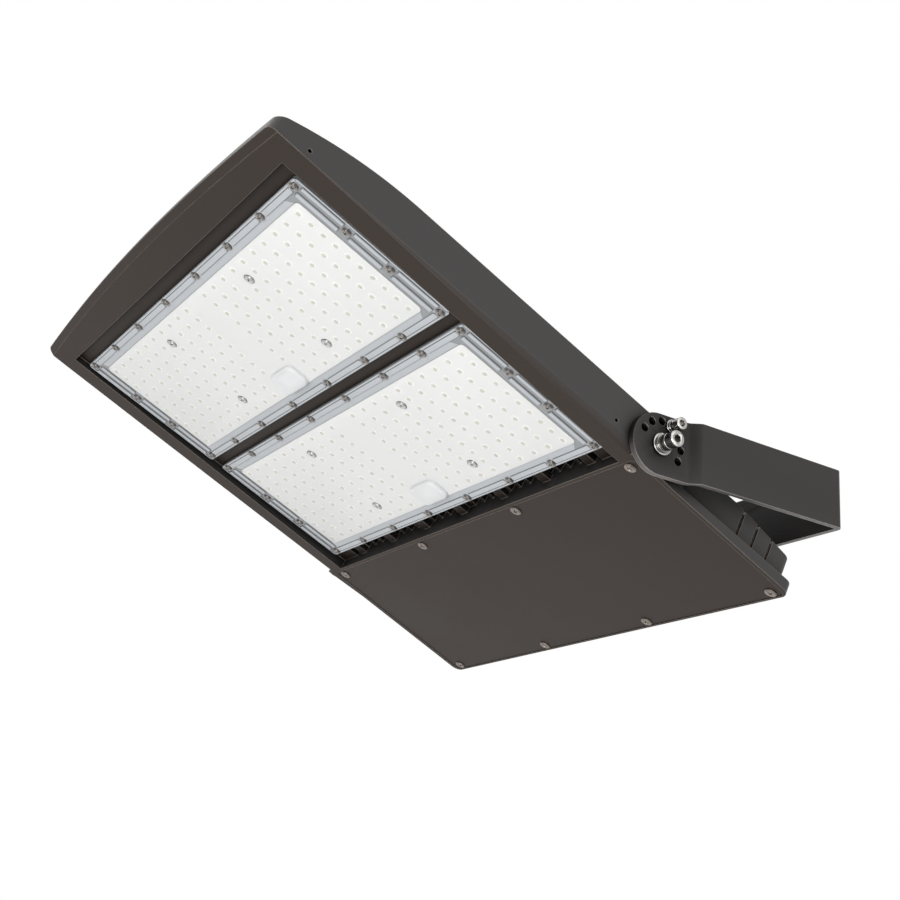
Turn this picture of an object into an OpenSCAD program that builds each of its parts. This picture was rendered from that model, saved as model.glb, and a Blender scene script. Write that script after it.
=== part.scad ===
/* [Yoke bracket] */
// Room for the lamp head to swing past the cross-piece
swing_gap = 17; // [5:0.1:60]
// Height of the flat bar
bar_h = 50; // [46:1:56]
// Thickness of the flat bar
bar_t = 5; // [4:0.5:6]
// Outward step of the arms behind the ears
joggle = 6.7; // [4:0.1:10]
// Length of the outward step
step_l = 13; // [10:0.5:20]
// Outer radius of the two bends
bend_r = 6.5; // [6.2:0.1:14]
// How far the ear's round end is centred in front of the tilt axis
ear_lead = 2.7; // [0:0.1:5]
// Radius of the far ear, which carries only its pivot bolt
far_ear_r = 12.5; // [12:0.5:18]
// Metal left between the lock holes and the edge of the near ear
ring_edge = 2.1; // [1.5:0.1:3]
// Angle between neighbouring lock holes
ring_step = 30; // [28:1:36]
// Number of lock holes in the near ear
ring_count = 7; // [3:2:7]
// Radius of the mounting holes in the cross-piece
wall_hole_r = 5.5; // [4:0.5:8]
// Distance between the mounting holes
wall_hole_pitch = 100; // [60:5:160]

/* [Tilt] */
// Nose-up angle of the lamp head in the modelled pose
tilt_deg = 24; // [20:1:30]
// Gap between each ear and the side of the housing
ear_gap = 1.3; // [1:0.1:2]

/* [Light panels] */
// Light board width
board_w = 404; // [360:1:440]
// Light board length along the housing
board_l = 124.8; // [112:0.2:140]
// Rim of the lens sheets outside the board, at the short sides
rim_w = 19.5; // [18:0.1:24]
// Rim of the lens sheets outside the board, at the long sides
rim_l = 13.1; // [12.5:0.1:16]
// Thickness of the lens rim
lens_t = 3; // [2.5:0.1:3.5]
// Gap between the two lens sheets
lens_gap = 11.6; // [8:0.1:20]
// Columns of light points on each half of a board
led_cols = 10; // [6:1:12]
// Rows of light points
led_rows = 10; // [6:1:11]
// Size of each light point
led_size = 3; // [2:0.5:3.5]

/* [Housing] */
// Width of the side bezels
side_rim = 22.7; // [20:0.1:30]
// Gap between the lens sheets and the sides of the recess
recess_side = 4.8; // [3:0.1:10]
// Gap between the front lens sheet and the front of the recess
recess_end = 13.1; // [6:0.1:20]
// Depth of the front bezel in the middle
nose_rim = 33; // [26:0.5:45]
// How far the nose bows out past its corners
nose_bow = 8.7; // [4:0.1:12]
// Length of the curved top of the nose
nose_curve_l = 130; // [100:1:140]
// Radius of the curved top of the nose, seen from the side
nose_curve_r = 373; // [350:1:450]
// Distance from the tilt axis to the rear lens sheet
trench_len = 25.3; // [24.5:0.1:40]
// Height of the housing top above the tilt axis
top_z = 20.8; // [19:0.1:24]
// Depth of the bezel below the tilt axis at the nose
bezel_nose = 12; // [11:0.5:13]
// Depth of the bezel below the tilt axis at the cover
bezel_rear = 17.6; // [16.8:0.1:18.2]
// Depth of the recess floor below the tilt axis
floor_down = 6.5; // [6:0.1:7]
// Radius of the long lower edges
edge_r = 8; // [5:0.5:9]
// Thickness of the plate that carries the light boards
base_t = 6; // [5.5:0.1:7]
// Spacing of the cooling fins
fin_pitch = 14; // [12:0.1:16]
// Thickness of each cooling fin
fin_t = 3; // [2:0.5:5]

/* [Driver box] */
// Wall thickness of the driver box
box_wall = 4; // [3.5:0.5:5]
// How far the flange stands in from the sides behind the ears
flange_in = 3.7; // [1:0.1:5]
// How far the box wall stands in from the flange at the sides
box_inset = 8; // [7:0.1:10]
// How far the box wall stands in from the flange at the rear
rear_inset = 4.7; // [4:0.1:12]
// How far the top of the box falls towards the rear
box_drop = 8; // [5:0.1:9]
// Depth of the flange's upper ledge below the tilt axis
ledge_down = 10.4; // [9.6:0.1:10.8]
// Width of the three grooves across the box
groove_w = 2.6; // [2:0.2:4]
// Depth of the three grooves
groove_d = 2; // [1:0.2:2.4]
// Thickness of the cover plate
cover_t = 1.8; // [1.5:0.1:2]
// Thickness of the cover gasket
cover_seal_t = 1.2; // [1:0.1:1.4]
// How far the cover sits inside the lip of the housing
cover_sink = 0.6; // [0.3:0.1:0.8]
// Width of the lip beside the cover
lip_w = 4.8; // [3:0.1:7]
// Length of each driver case
driver_l = 180; // [150:1:200]
// Depth of each driver case along the housing
driver_w = 68; // [55:1:80]
// Height of each driver case
driver_h = 27.4; // [20:0.2:30]
// Space in front of the drivers
driver_front = 38; // [30:1:50]
// Space between the drivers and the surge protector
part_gap = 13; // [8:1:30]
// Space behind the surge protector
rear_space = 17.5; // [8:0.1:30]

/* [Fasteners] */
// Radius of the pivot bolt shank
pivot_r = 4; // [3.5:0.1:4.5]
// Radius of the pivot bolt head
pivot_head_r = 6.5; // [6:0.5:7]
// Radius of the lock screw shank
lock_r = 3; // [2.5:0.1:3.3]
// Radius of the lock screw head
lock_head_r = 5; // [4.5:0.5:5.5]
// Angle of the lock screw round the tilt axis, up from the arm
lock_angle = 60; // [50:1:70]
// Radius of the lens screw heads
lens_head_r = 4; // [3.5:0.1:4.4]
// Radius of the cover screw heads
cover_head_r = 5.1; // [4.6:0.1:5.4]

/* [Hidden] */
$fn = 48;
// Small overlap that keeps cuts clean
eps = 0.1;
// Clearance round screws in their own holes
screw_gap = 0.05;
// Gap between pieces that move past each other
run_gap = 0.1;
// Gap between the lock washers and the ear
lock_gap = 0.3;

// Surge protector and terminal block, with the half width of the pads that carry them
spd_size = [60, 34, 20];
block_size = [56, 24, 16];
block_x = 48;
spd_x = -70;
pad_half = 10;

// Cable gland and vent on the roof
gland_y = 70;
gland_r = 10;
gland_hex_r = 13.8;
gland_hex_h = 6;
gland_seal_t = 1.5;
gland_seal_w = 2.6;
gland_bore_r = 5;
gland_cup_r = 7.5;
gland_thread_h = 6;
insert_bore_r = 4.5;
insert_h = 9;
gland_nut_h = 15;
locknut_r = 13.4;
locknut_h = 5;
gland_stub = 2;
gland_top = top_z + gland_seal_t + gland_hex_h;
vent_y = 16;
vent_r = 6;
vent_cap_r = 9;
vent_cap_h = 4;

// Places of the light panels, forward of the tilt axis
lens_w = board_w + 2 * rim_w;
lens_l = board_l + 2 * rim_l;
lens_rear_y = trench_len + lens_l / 2;
lens_ys = [-lens_rear_y - lens_l - lens_gap, -lens_rear_y];
recess_half = lens_w / 2 + recess_side;
recess_front = lens_l / 2 - lens_ys[0] + recess_end;

// Drivers, measured from the middle of the housing
driver_tab = 12;
driver_tab_t = 3;
driver_screw_y = 25;
driver_screw_r = 2;
driver_head_r = 3.9;
driver_head_h = 2.4;
driver_screw_len = 5.5;
driver_side = 6;
driver_x = locknut_r + 0.6 + driver_tab + driver_l / 2;
driver_end = driver_x + driver_l / 2 + driver_tab;

// Widths across the tilt axis
half_w = max(recess_half + side_rim, driver_end + driver_side + box_wall + box_inset + flange_in);
housing_w = 2 * half_w;
ear_in = half_w + ear_gap;
ear_out = ear_in + bar_t;
arm_out = ear_out + joggle;
arm_in = arm_out - bar_t;

// Driver box
flange_half = half_w - flange_in;
box_half = flange_half - box_inset;
box_in = box_half - box_wall;
box_end_wall = 3;
box_front_y = -11.7;
box_inner_front = box_front_y + box_end_wall;
driver_y = box_inner_front + driver_front + driver_w / 2;
spd_y = driver_y + driver_w / 2 + part_gap + spd_size[1] / 2;
block_y = spd_y - 2;
box_inner_rear = spd_y + spd_size[1] / 2 + rear_space;
box_rear_y = box_inner_rear + box_end_wall;
box_corner_r = 8;
rear_len = box_rear_y + rear_inset;
roof_z = top_z - box_wall;
box_slope_y = driver_y + driver_w / 2 + 1;
box_slope = box_drop / (box_rear_y + 2 - box_slope_y);
roof_rear_z = top_z - box_drop - box_wall;
mouth_half = half_w - 26;
mouth_front = 4;
mouth_rear = box_rear_y - 9.3;
groove_up = 2.2;
groove_y = [box_rear_y - 59.1, box_rear_y - 41.9, box_rear_y - 24.7];

// Distance from the wall face to the tilt axis
reach = rear_len + bar_t + swing_gap;

// The step of the arm starts and ends at these distances behind the tilt axis
step_a = bar_h / 2;
step_b = step_a + step_l;

// Ring of lock holes
lock_hole_gap = 0.5;
ring_hole_r = lock_r + lock_hole_gap;
ring_r = bar_h / 2 - ring_hole_r - ring_edge;

// Plan of the housing
nose_len = recess_front + nose_rim;
nose_curve_y = nose_len - nose_curve_l;
nose_corner_r = 9;
rear_corner_r = 9;
flange_y = [-12, 32];
shoulder_l = 20;
nose_r = (half_w * half_w + nose_bow * nose_bow) / (2 * nose_bow);
nose_cy = nose_r - nose_len;
nose_turn = asin((half_w - nose_corner_r) / (nose_r - nose_corner_r));
nose_corner_y = nose_cy - (nose_r - nose_corner_r) * cos(nose_turn);

// Levels of the lamp head, measured from the tilt axis
floor_z = -floor_down;
base_top = floor_z + base_t;
pad_t = 0.5;
board_t = 1.6;
led_t = 0.8;
board_z = floor_z - pad_t - board_t;
led_z = board_z - led_t;
lens_seal_t = 1;
lens_top = floor_z - lens_seal_t;
lens_face = lens_top - lens_t;
field_up = 1.1;
ledge_z = -ledge_down;
bezel_front_y = -nose_len;
bezel_ref_y = -10.5;
bezel_slope = (bezel_rear - bezel_nose) / (bezel_ref_y - bezel_front_y);

// Cover plate, measured in the sloping plane of the bezel
cover_gap = 0.6;
cover_half = flange_half - lip_w;
cover_front = box_front_y + 3.7;
cover_rear = rear_len - 2.2;
cover_corner_r = 5;
cover_top = cover_sink + cover_t;
rebate_d = cover_top + cover_seal_t;
cover_screw_x = [76.7, cover_half - 10.4];
cover_screw_y = [cover_front + 5.6, cover_rear - 5.4];
cover_screw_r = 2.5;
cover_head_h = 1.6;
cover_screw_len = 7.4;
cover_hole_h = cover_screw_len - cover_t - cover_seal_t + 0.4;
cover_boss = [12, 10, 14];

// Trench between the rear lens sheet and the driver box
trench_a = -24;
trench_ribs = [0, 64, 126, 186];
trench_rib_w = 10;
trench_half = recess_half - 26.3;

// Fins and the duct for the leads
fin_count = 2 * floor((half_w - 8) / fin_pitch);
fin_front = -recess_front - 10;
duct_half = 6;
duct_z = base_top + 0.5;
duct_h = 7.5;
duct_wall_top = duct_z + duct_h + 3;
lead_r = 2;
lead_x = 3;
lead_gap = 4;

// Small side holes for a shield
shield_hole_y = [-recess_front + 8.1, -40.5];
shield_hole_z = -6;
shield_hole_r = 1.6;
shield_hole_depth = 9;

// Boss behind each ear, with the track for the lock screw's tip
groove_half = lock_r + 0.8;
boss_r = ring_r + groove_half + 1.3;
boss_half_l = boss_r - 0.5;
boss_in = recess_half;
groove_bottom = half_w - 6.6;
tilt_travel = 90;
pivot_in = boss_in + 3;

// Light panel details
lens_screw_x = [32.5, 97, 156.5, lens_w / 2 - 9.5];
lens_screw_y = lens_l / 2 - 4.5;
lens_side_y = 21.2;
inner_screw = [81.5, 40.3];
lens_screw_r = 2;
lens_head_h = 2.4;
lens_screw_len = 8;
lens_hole_h = lens_screw_len - lens_t - lens_seal_t + 0.6;
inner_boss_r = 4.5;
inner_hole_r = lens_screw_r + 0.4;
led_margin = [10, 8.4];
led_pitch_x = (board_w / 2 - led_margin[0]) / led_cols;
led_pitch_y = (board_l - 2 * led_margin[1]) / (led_rows - 1);
bump_w = 40;
bump_l = 25;
bump_y = board_l / 2 - 13.4;
bump_h = 4;
connector_w = 16;
connector_l = 9;
connector_h = 4;
seal_in = [board_w / 2 + 1.5, board_l / 2 + 1];
seal_w = [5, 4];

// Pivot stack, outward from the ear
friction_r = 13;
flat_washer_t = 1.8;
flat_washer_r = 9;
spring_washer_t = 2.2;
spring_washer_r = 7.3;
spacer_t = 6.5;
spacer_r = 6.6;
pivot_head_h = 8;
pivot_key_r = 3.4;
pivot_wash_x = ear_out + run_gap;
pivot_spring_x = pivot_wash_x + flat_washer_t;
pivot_spacer_x = pivot_spring_x + spring_washer_t;
pivot_head_x = pivot_spacer_x + spacer_t;

// Lock screw stack, outward from the ear
lock_washer_t = 1.6;
lock_washer_r = 6;
lock_spring_t = 1.6;
lock_spring_r = 5.1;
lock_spacer_t = 3;
lock_spacer_r = 4.7;
lock_head_h = 6;
lock_key_r = 2.8;
lock_wash_x = ear_out + lock_gap;
lock_spring_x = lock_wash_x + lock_washer_t;
lock_spacer_x = lock_spring_x + lock_spring_t;
lock_head_x = lock_spacer_x + lock_spacer_t;
lock_tip_x = groove_bottom + 1;

// Bundle of supply leads
supply_r = 2.5;
supply_z = min(roof_rear_z, roof_z - locknut_h - gland_stub) - supply_r - 0.6;

bronze = [0.27, 0.24, 0.22];
bar_color = [0.25, 0.25, 0.26];
steel = [0.75, 0.75, 0.76];
clear = [0.86, 0.88, 0.92];
white = [0.93, 0.93, 0.92];
black = [0.12, 0.12, 0.12];

// Points of an arc from angle a to angle b in n steps
function arc(cx, cy, r, a, b, n) =
  [for (i = [0:n]) [cx + r * cos(a + (b - a) * i / n), cy + r * sin(a + (b - a) * i / n)]];

// Depth of the bezel plane at a distance along the housing
function bezel_z(y) = -bezel_nose - bezel_slope * (y - bezel_front_y);

// Height of the top of the driver box at a distance along the housing
function box_top(y) = top_z - box_slope * max(0, y - box_slope_y);

// Places its children in the sloping plane of the bezel, with the tilt axis at y = 0
module bezel_frame() {
  translate([0, bezel_ref_y, -bezel_rear]) rotate([-atan(bezel_slope), 0, 0]) {
    translate([0, -bezel_ref_y, 0]) children();
  }
}

// Places its children on the tilted lamp head
module head() translate([0, -reach, 0]) rotate([-tilt_deg, 0, 0]) children();

// A round rod along X from a to b, seen from the tilt axis
module rod(a, b, r) translate([a, 0, 0]) rotate([0, 90, 0]) cylinder(r = r, h = b - a);

// A plate with rounded corners, centred across the housing
module plate(x, y, z, h, r) {
  translate([0, 0, z]) linear_extrude(h) union() {
    square([x, y - 2 * r], center = true);
    square([x - 2 * r, y], center = true);
    for (i = [-1, 1], j = [-1, 1]) translate([i * (x / 2 - r), j * (y / 2 - r)]) circle(r);
  }
}

// Positions of the outer screws of a light panel
module rim_places() {
  for (i = [-1, 1], j = [-1, 1], x = lens_screw_x) {
    translate([i * x, j * lens_screw_y, 0]) children();
  }
  for (i = [-1, 1], j = [-1, 1]) {
    translate([i * lens_screw_x[3], j * lens_side_y, 0]) children();
  }
}

// Positions of the inner screws of a light panel
module inner_places() {
  for (i = [-1, 1], j = [-1, 1]) translate([i * inner_screw[0], j * inner_screw[1], 0]) children();
}

// Positions of the cover screws
module cover_places() {
  for (i = [-1, 1], x = cover_screw_x, y = cover_screw_y) translate([i * x, y, 0]) children();
}

// A pan head with a cross recess, face down at z = 0
module pan_head(r, h) {
  difference() {
    translate([0, 0, -h]) union() {
      cylinder(r1 = r * 0.72, r2 = r, h = h * 0.45);
      translate([0, 0, h * 0.45]) cylinder(r = r, h = h * 0.55);
    }
    for (a = [45, 135]) rotate([0, 0, a]) {
      translate([-r * 0.55, -r * 0.11, -h - eps]) cube([r * 1.1, r * 0.22, h * 0.6]);
    }
  }
}

// Washer along X between a and b
module ring_x(a, b, ro, ri) {
  difference() {
    rod(a, b, ro);
    rod(a - eps, b + eps, ri);
  }
}

// Socket head screw along X with its head outside
module socket_screw(tip, seat, shank, head_r, head_h, key_r) {
  difference() {
    union() {
      rod(tip, seat + eps, shank);
      rod(seat, seat + head_h - 0.8, head_r);
      translate([seat + head_h - 0.8, 0, 0]) rotate([0, 90, 0]) {
        cylinder(r1 = head_r, r2 = head_r - 0.8, h = 0.8);
      }
    }
    translate([seat + head_h * 0.45, 0, 0]) rotate([0, 90, 0]) cylinder(r = key_r, h = head_h, $fn = 6);
  }
}

// The bent bar, seen from above
module bar_plan() {
  steps = 14;
  outer = [for (i = [0:steps]) [
    ear_out + joggle * (1 - cos(180 * i / steps)) / 2,
    -reach + step_a + (step_b - step_a) * i / steps]];
  inner = [for (i = [steps:-1:0]) [outer[i][0] - bar_t, outer[i][1]]];
  front = -reach - ear_lead - bar_h / 2;
  outside = concat([[ear_out, front]], outer, arc(arm_out - bend_r, -bend_r, bend_r, 0, 90, 10));
  inside = concat(arc(arm_out - bend_r, -bend_r, bend_r - bar_t, 90, 0, 10), inner, [[ear_in, front]]);
  outside_left = [for (i = [len(outside) - 1:-1:0]) [-outside[i][0], outside[i][1]]];
  inside_left = [for (i = [len(inside) - 1:-1:0]) [-inside[i][0], inside[i][1]]];
  polygon(concat(outside, outside_left, inside_left, inside));
}

// Side view of the far half of the bracket, as distance from the tilt axis and height
module far_side() {
  r = far_ear_r;
  turn = atan2(bar_h / 2, step_b) - asin(r / norm([step_b, bar_h / 2]));
  polygon(concat(arc(0, 0, r, 90 + turn, 270 - turn, 24),
    [[step_b, -bar_h / 2], [reach + 1, -bar_h / 2], [reach + 1, bar_h / 2], [step_b, bar_h / 2]]));
}

module yoke_bracket() {
  color(bar_color) difference() {
    intersection() {
      translate([0, 0, -bar_h / 2]) linear_extrude(bar_h) bar_plan();
      union() {
        translate([0, -reach - ear_lead, -bar_h]) cube([arm_out + 1, reach + bar_h, 2 * bar_h]);
        translate([0, -reach - ear_lead, 0]) rod(0, arm_out + 1, bar_h / 2);
        translate([-arm_out - 1, -reach, 0]) rotate([90, 0, 90]) {
          linear_extrude(arm_out + 1 + eps) far_side();
        }
      }
    }
    translate([0, -reach, 0]) rod(-arm_out, arm_out, pivot_r + 0.06);
    for (i = [0:ring_count - 1]) {
      a = lock_angle + ring_step * (i - (ring_count - 1) / 2);
      translate([0, -reach + ring_r * cos(a), ring_r * sin(a)]) rod(0, arm_out, ring_hole_r);
    }
    for (i = [-1:1]) translate([i * wall_hole_pitch, eps, 0]) rotate([90, 0, 0]) {
      cylinder(r = wall_hole_r, h = bar_t + 2 * eps);
    }
  }
}

// Outline of the housing, with the half width of its rear part
module housing_plan(rear_half) {
  right = concat(
    arc(rear_half - rear_corner_r, rear_len - rear_corner_r, rear_corner_r, 90, 0, 12),
    [[rear_half, flange_y[1]], [half_w, flange_y[0]]],
    arc(half_w - nose_corner_r, nose_corner_y, nose_corner_r, 0, -90 + nose_turn, 12));
  nose = arc(0, nose_cy, nose_r, -90 + nose_turn, -90 - nose_turn, 30);
  left = [for (i = [len(right) - 1:-1:0]) [-right[i][0], right[i][1]]];
  polygon(concat(right, nose, left));
}

// Outline above the flange ledge, with the driver box drawn in
module upper_plan() {
  side = concat([[half_w, -nose_len - 10], [half_w, boss_half_l], [box_half, boss_half_l + shoulder_l]],
    arc(box_half - box_corner_r, box_rear_y - box_corner_r, box_corner_r, 0, 90, 10));
  left = [for (i = [len(side) - 1:-1:0]) [-side[i][0], side[i][1]]];
  polygon(concat(side, left));
}

// Side view of the housing, as distance along and height
module housing_profile() {
  curve = [for (i = [0:24]) let (y = -nose_curve_y - (nose_len + 5 - nose_curve_y) * i / 24)
    [y, top_z - nose_curve_r + sqrt(nose_curve_r * nose_curve_r - pow(y + nose_curve_y, 2))]];
  polygon(concat([[-nose_len - 5, bezel_z(-nose_len - 5)], [rear_len + 5, bezel_z(rear_len + 5)],
    [rear_len + 5, ledge_z], [box_rear_y + 2, ledge_z + 0.01],
    [box_rear_y + 2, box_top(box_rear_y + 2)], [box_slope_y, top_z]], curve));
}

// Solid outer form of the casting
module housing_blank() {
  intersection() {
    union() {
      translate([0, 0, -40]) linear_extrude(40 + ledge_z) housing_plan(flange_half);
      translate([0, 0, ledge_z - eps]) linear_extrude(60) intersection() {
        housing_plan(half_w + eps);
        upper_plan();
      }
    }
    translate([-half_w, 0, 0]) rotate([90, 0, 90]) linear_extrude(housing_w) housing_profile();
  }
}

// Curved track for the tip of a lock screw, on the right side
module lock_track() {
  mid = lock_angle + tilt_deg;
  half = tilt_travel + asin((lock_r + 0.6) / ring_r);
  rotate([mid - half, 0, 0]) translate([groove_bottom, 0, 0]) rotate([90, 0, 90]) {
    rotate_extrude(angle = 2 * half) translate([ring_r - groove_half, 0]) square([2 * groove_half, 10]);
  }
}

module housing() {
  color(bronze) head() difference() {
    union() {
      difference() {
        housing_blank();
        // recess for the light panels
        translate([-recess_half, -recess_front, -40]) {
          cube([2 * recess_half, recess_front + box_front_y, 40 + floor_z]);
        }
        // channels between the fins
        for (i = [0:fin_count - 1]) let (x = (i - (fin_count - 1) / 2) * fin_pitch)
          if (abs(x) > fin_pitch) {
            translate([x - (fin_pitch - fin_t) / 2, fin_front, base_top]) {
              cube([fin_pitch - fin_t, box_front_y - fin_front, 60]);
            }
          }
        for (s = [-1, 1]) side(s) translate([fin_t / 2, fin_front, duct_wall_top]) {
          cube([fin_pitch - fin_t - 1, box_front_y - fin_front, 60]);
        }
        // vents in the trench
        for (s = [-1, 1], i = [0:3]) {
          a = trench_ribs[i] + trench_rib_w / 2;
          b = i < 3 ? trench_ribs[i + 1] - trench_rib_w / 2 : trench_half;
          translate([s > 0 ? a : -b, trench_a, floor_z - eps]) {
            cube([b - a, box_front_y - trench_a, base_t + 2 * eps]);
          }
        }
        // driver compartment
        translate([-box_in, 0, 0]) rotate([90, 0, 90]) linear_extrude(2 * box_in) {
          polygon([[box_inner_front, ledge_z], [box_inner_rear, ledge_z],
            [box_inner_rear, box_top(box_inner_rear) - box_wall], [box_slope_y, roof_z],
            [box_inner_front, roof_z]]);
        }
        translate([-mouth_half, mouth_front, -40]) {
          cube([2 * mouth_half, mouth_rear - mouth_front, 40 + ledge_z + eps]);
        }
        // rebate for the cover
        bezel_frame() cover_plan(cover_gap, -5, 5 + rebate_d);
        // grooves across the box
        for (y = groove_y) {
          for (s = [-1, 1]) side(s) {
            translate([box_half - groove_d, y - groove_w / 2, ledge_z + groove_up]) cube([20, groove_w, 60]);
          }
          translate([-half_w, y - groove_w / 2, box_top(y) - groove_d]) cube([housing_w, groove_w, 10]);
        }
      }
      // bosses for the front cover screws
      for (i = [-1, 1], x = cover_screw_x) {
        translate([i * x - cover_boss[0] / 2, box_inner_front - eps, ledge_z - eps]) cube(cover_boss);
      }
      // pads that carry the surge protector and the terminal block
      for (x = [spd_x, block_x]) translate([x - pad_half, spd_y - pad_half, roof_rear_z]) {
        cube([2 * pad_half, 2 * pad_half, box_top(spd_y - pad_half) - box_wall + 0.5 - roof_rear_z]);
      }
      // blocks behind the ears
      for (s = [-1, 1]) {
        intersection() {
          translate([s > 0 ? boss_in : -half_w, -boss_half_l, ledge_z - eps]) {
            cube([half_w - boss_in, 2 * boss_half_l, 60]);
          }
          union() {
            rod(-half_w, half_w, boss_r);
            translate([-half_w, -boss_half_l, ledge_z - eps]) {
              cube([housing_w, 2 * boss_half_l, top_z - ledge_z + eps]);
            }
          }
        }
      }
    }
    // rounded lip of the nose
    nose_lip();
    // lock track, pivot holes and the rounding of the long lower edges
    lock_track();
    for (s = [-1, 1]) side(s) {
      rod(pivot_in, half_w + 5, pivot_r + screw_gap);
      edge_round();
    }
    // screw holes
    for (y = lens_ys) translate([0, y, floor_z - eps]) {
      rim_places() cylinder(r = lens_screw_r + screw_gap, h = lens_hole_h);
      inner_places() cylinder(r = lens_screw_r + screw_gap, h = lens_hole_h);
    }
    bezel_frame() translate([0, 0, rebate_d - eps]) cover_places() {
      cylinder(r = cover_screw_r + screw_gap, h = cover_hole_h);
    }
    driver_places() translate([0, 0, roof_z - eps]) {
      cylinder(r = driver_screw_r + screw_gap, h = driver_screw_len - driver_tab_t + 0.5);
    }
    // small side holes for a shield
    for (s = [-1, 1], y = shield_hole_y) side(s) translate([0, y, shield_hole_z]) {
      rod(half_w - shield_hole_depth, half_w + 1, shield_hole_r);
    }
    // duct and feed holes for the leads
    translate([-duct_half, lens_ys[0] + bump_y - 6, duct_z]) {
      cube([2 * duct_half, box_inner_front - lens_ys[0] - bump_y + 6 + eps, duct_h]);
    }
    for (i = [0, 1]) translate([lead_x * (2 * i - 1), lens_ys[i] + bump_y, floor_z - eps]) {
      cylinder(r = lead_r + 0.5, h = duct_z - floor_z + 1);
    }
    // gland and vent holes
    translate([0, gland_y, roof_z - eps]) cylinder(r = gland_r + screw_gap, h = 10);
    translate([0, vent_y, roof_z - eps]) cylinder(r = vent_r + screw_gap, h = 10);
  }
}

// Cutter that rounds the right lower edge, fading out at the nose
module edge_round() {
  start = -friction_r - 1;
  run = nose_len - 24 + start;
  fade = atan(0.3 * edge_r / run);
  turn = 90 - atan(bezel_slope) + fade;
  translate([half_w - edge_r, start, bezel_z(start) + edge_r]) rotate([turn, 0, fade]) difference() {
    translate([0, -20, 0]) cube([20, 20, run]);
    translate([0, 0, -1]) cylinder(r = edge_r, h = run + 2, $fn = 64);
  }
}

// Cutter that bevels the front lower edge of the nose
module nose_lip() {
  w = 7;
  d = 2.2;
  translate([0, nose_cy, 0]) rotate([0, 0, -90 - 6]) rotate_extrude(angle = 12, $fn = 1440) {
    polygon([[nose_r - w, -bezel_nose - 1], [nose_r - w, -bezel_nose], [nose_r + 1, -bezel_nose + d],
      [nose_r + 30, -bezel_nose + d], [nose_r + 30, -bezel_nose - 1]]);
  }
}

// A plate with the cover's outline, grown by g, from z up by h, in the bezel plane
module cover_plan(g, z, h) {
  translate([0, (cover_front + cover_rear) / 2, 0]) {
    plate(2 * (cover_half + g), cover_rear - cover_front + 2 * g, z, h, cover_corner_r + g);
  }
}

module driver_cover() {
  color(bronze) head() bezel_frame() difference() {
    cover_plan(0, cover_sink, cover_t);
    translate([0, 0, -1]) cover_places() cylinder(r = cover_screw_r + 0.4, h = 5);
  }
}

module cover_gasket() {
  color(black) head() bezel_frame() difference() {
    cover_plan(-1.5, cover_top, cover_seal_t);
    translate([-mouth_half - 0.5, mouth_front - 0.5, 0]) {
      cube([2 * mouth_half + 1, mouth_rear - mouth_front + 1, 8]);
    }
    cover_places() cylinder(r = cover_screw_r + 0.4, h = 8);
  }
}

module cover_screws() {
  color(steel) head() bezel_frame() cover_places() {
    translate([0, 0, cover_sink]) pan_head(cover_head_r, cover_head_h);
    translate([0, 0, cover_sink - eps]) cylinder(r = cover_screw_r, h = cover_screw_len);
  }
}

// One lens sheet, centred on its own middle
module lens_sheet() {
  difference() {
    union() {
      plate(lens_w, lens_l, lens_face, lens_t, 5);
      // raised field over the light points
      plate(board_w - 2, board_l - 2, lens_face - field_up, field_up + eps, 4);
      // raised outer rib
      difference() {
        plate(lens_w - 1, lens_l - 1, lens_face - 0.9, 0.9 + eps, 4.5);
        plate(lens_w - 5, lens_l - 5, lens_face - 2, 3, 3);
        rim_places() translate([0, 0, lens_face - 3]) cylinder(r = lens_head_r + 0.4, h = 4);
      }
      // bump over the wire connector
      translate([0, bump_y, 0]) plate(bump_w, bump_l, lens_face - field_up - bump_h, bump_h + 1, 8);
    }
    // hollow over the light board
    difference() {
      union() {
        plate(board_w + 0.6, board_l + 0.6, board_z, 5, 2);
        plate(board_w - 6, board_l - 6, led_z - 0.5, 2, 2);
        translate([0, bump_y, 0]) {
          plate(connector_w + 4, connector_l + 4, board_z - connector_h - 0.6, connector_h + 1, 2);
        }
      }
      inner_places() translate([0, 0, lens_face - 1]) cylinder(r = inner_boss_r, h = board_z - lens_face + 1);
    }
    rim_places() translate([0, 0, lens_face - 5]) cylinder(r = lens_screw_r + 0.3, h = 20);
    inner_places() translate([0, 0, lens_face - 5]) cylinder(r = lens_screw_r + 0.3, h = 20);
    inner_places() translate([0, 0, lens_face - 5]) cylinder(r = lens_head_r + 0.6, h = 5);
  }
}

module lens(i) color(clear) head() translate([0, lens_ys[i], 0]) lens_sheet();

module lens_gasket(i) {
  color(black) head() translate([0, lens_ys[i], 0]) difference() {
    plate(2 * (seal_in[0] + seal_w[0]), 2 * (seal_in[1] + seal_w[1]), lens_top, lens_seal_t, 4);
    plate(2 * seal_in[0], 2 * seal_in[1], lens_top - 1, 5, 2);
  }
}

module lens_screws(i) {
  color(steel) head() translate([0, lens_ys[i], 0]) {
    rim_places() lens_screw();
    inner_places() lens_screw();
  }
}

module lens_screw() {
  translate([0, 0, lens_face]) pan_head(lens_head_r, lens_head_h);
  translate([0, 0, lens_face - eps]) cylinder(r = lens_screw_r, h = lens_screw_len);
}

module led_board(i) {
  color(white) head() translate([0, lens_ys[i], 0]) difference() {
    plate(board_w, board_l, board_z, board_t, 2);
    inner_places() translate([0, 0, board_z - 1]) cylinder(r = inner_hole_r, h = 5);
    translate([lead_x * (2 * i - 1), bump_y, board_z - 1]) cylinder(r = lead_r + 0.3, h = 5);
  }
}

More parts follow.
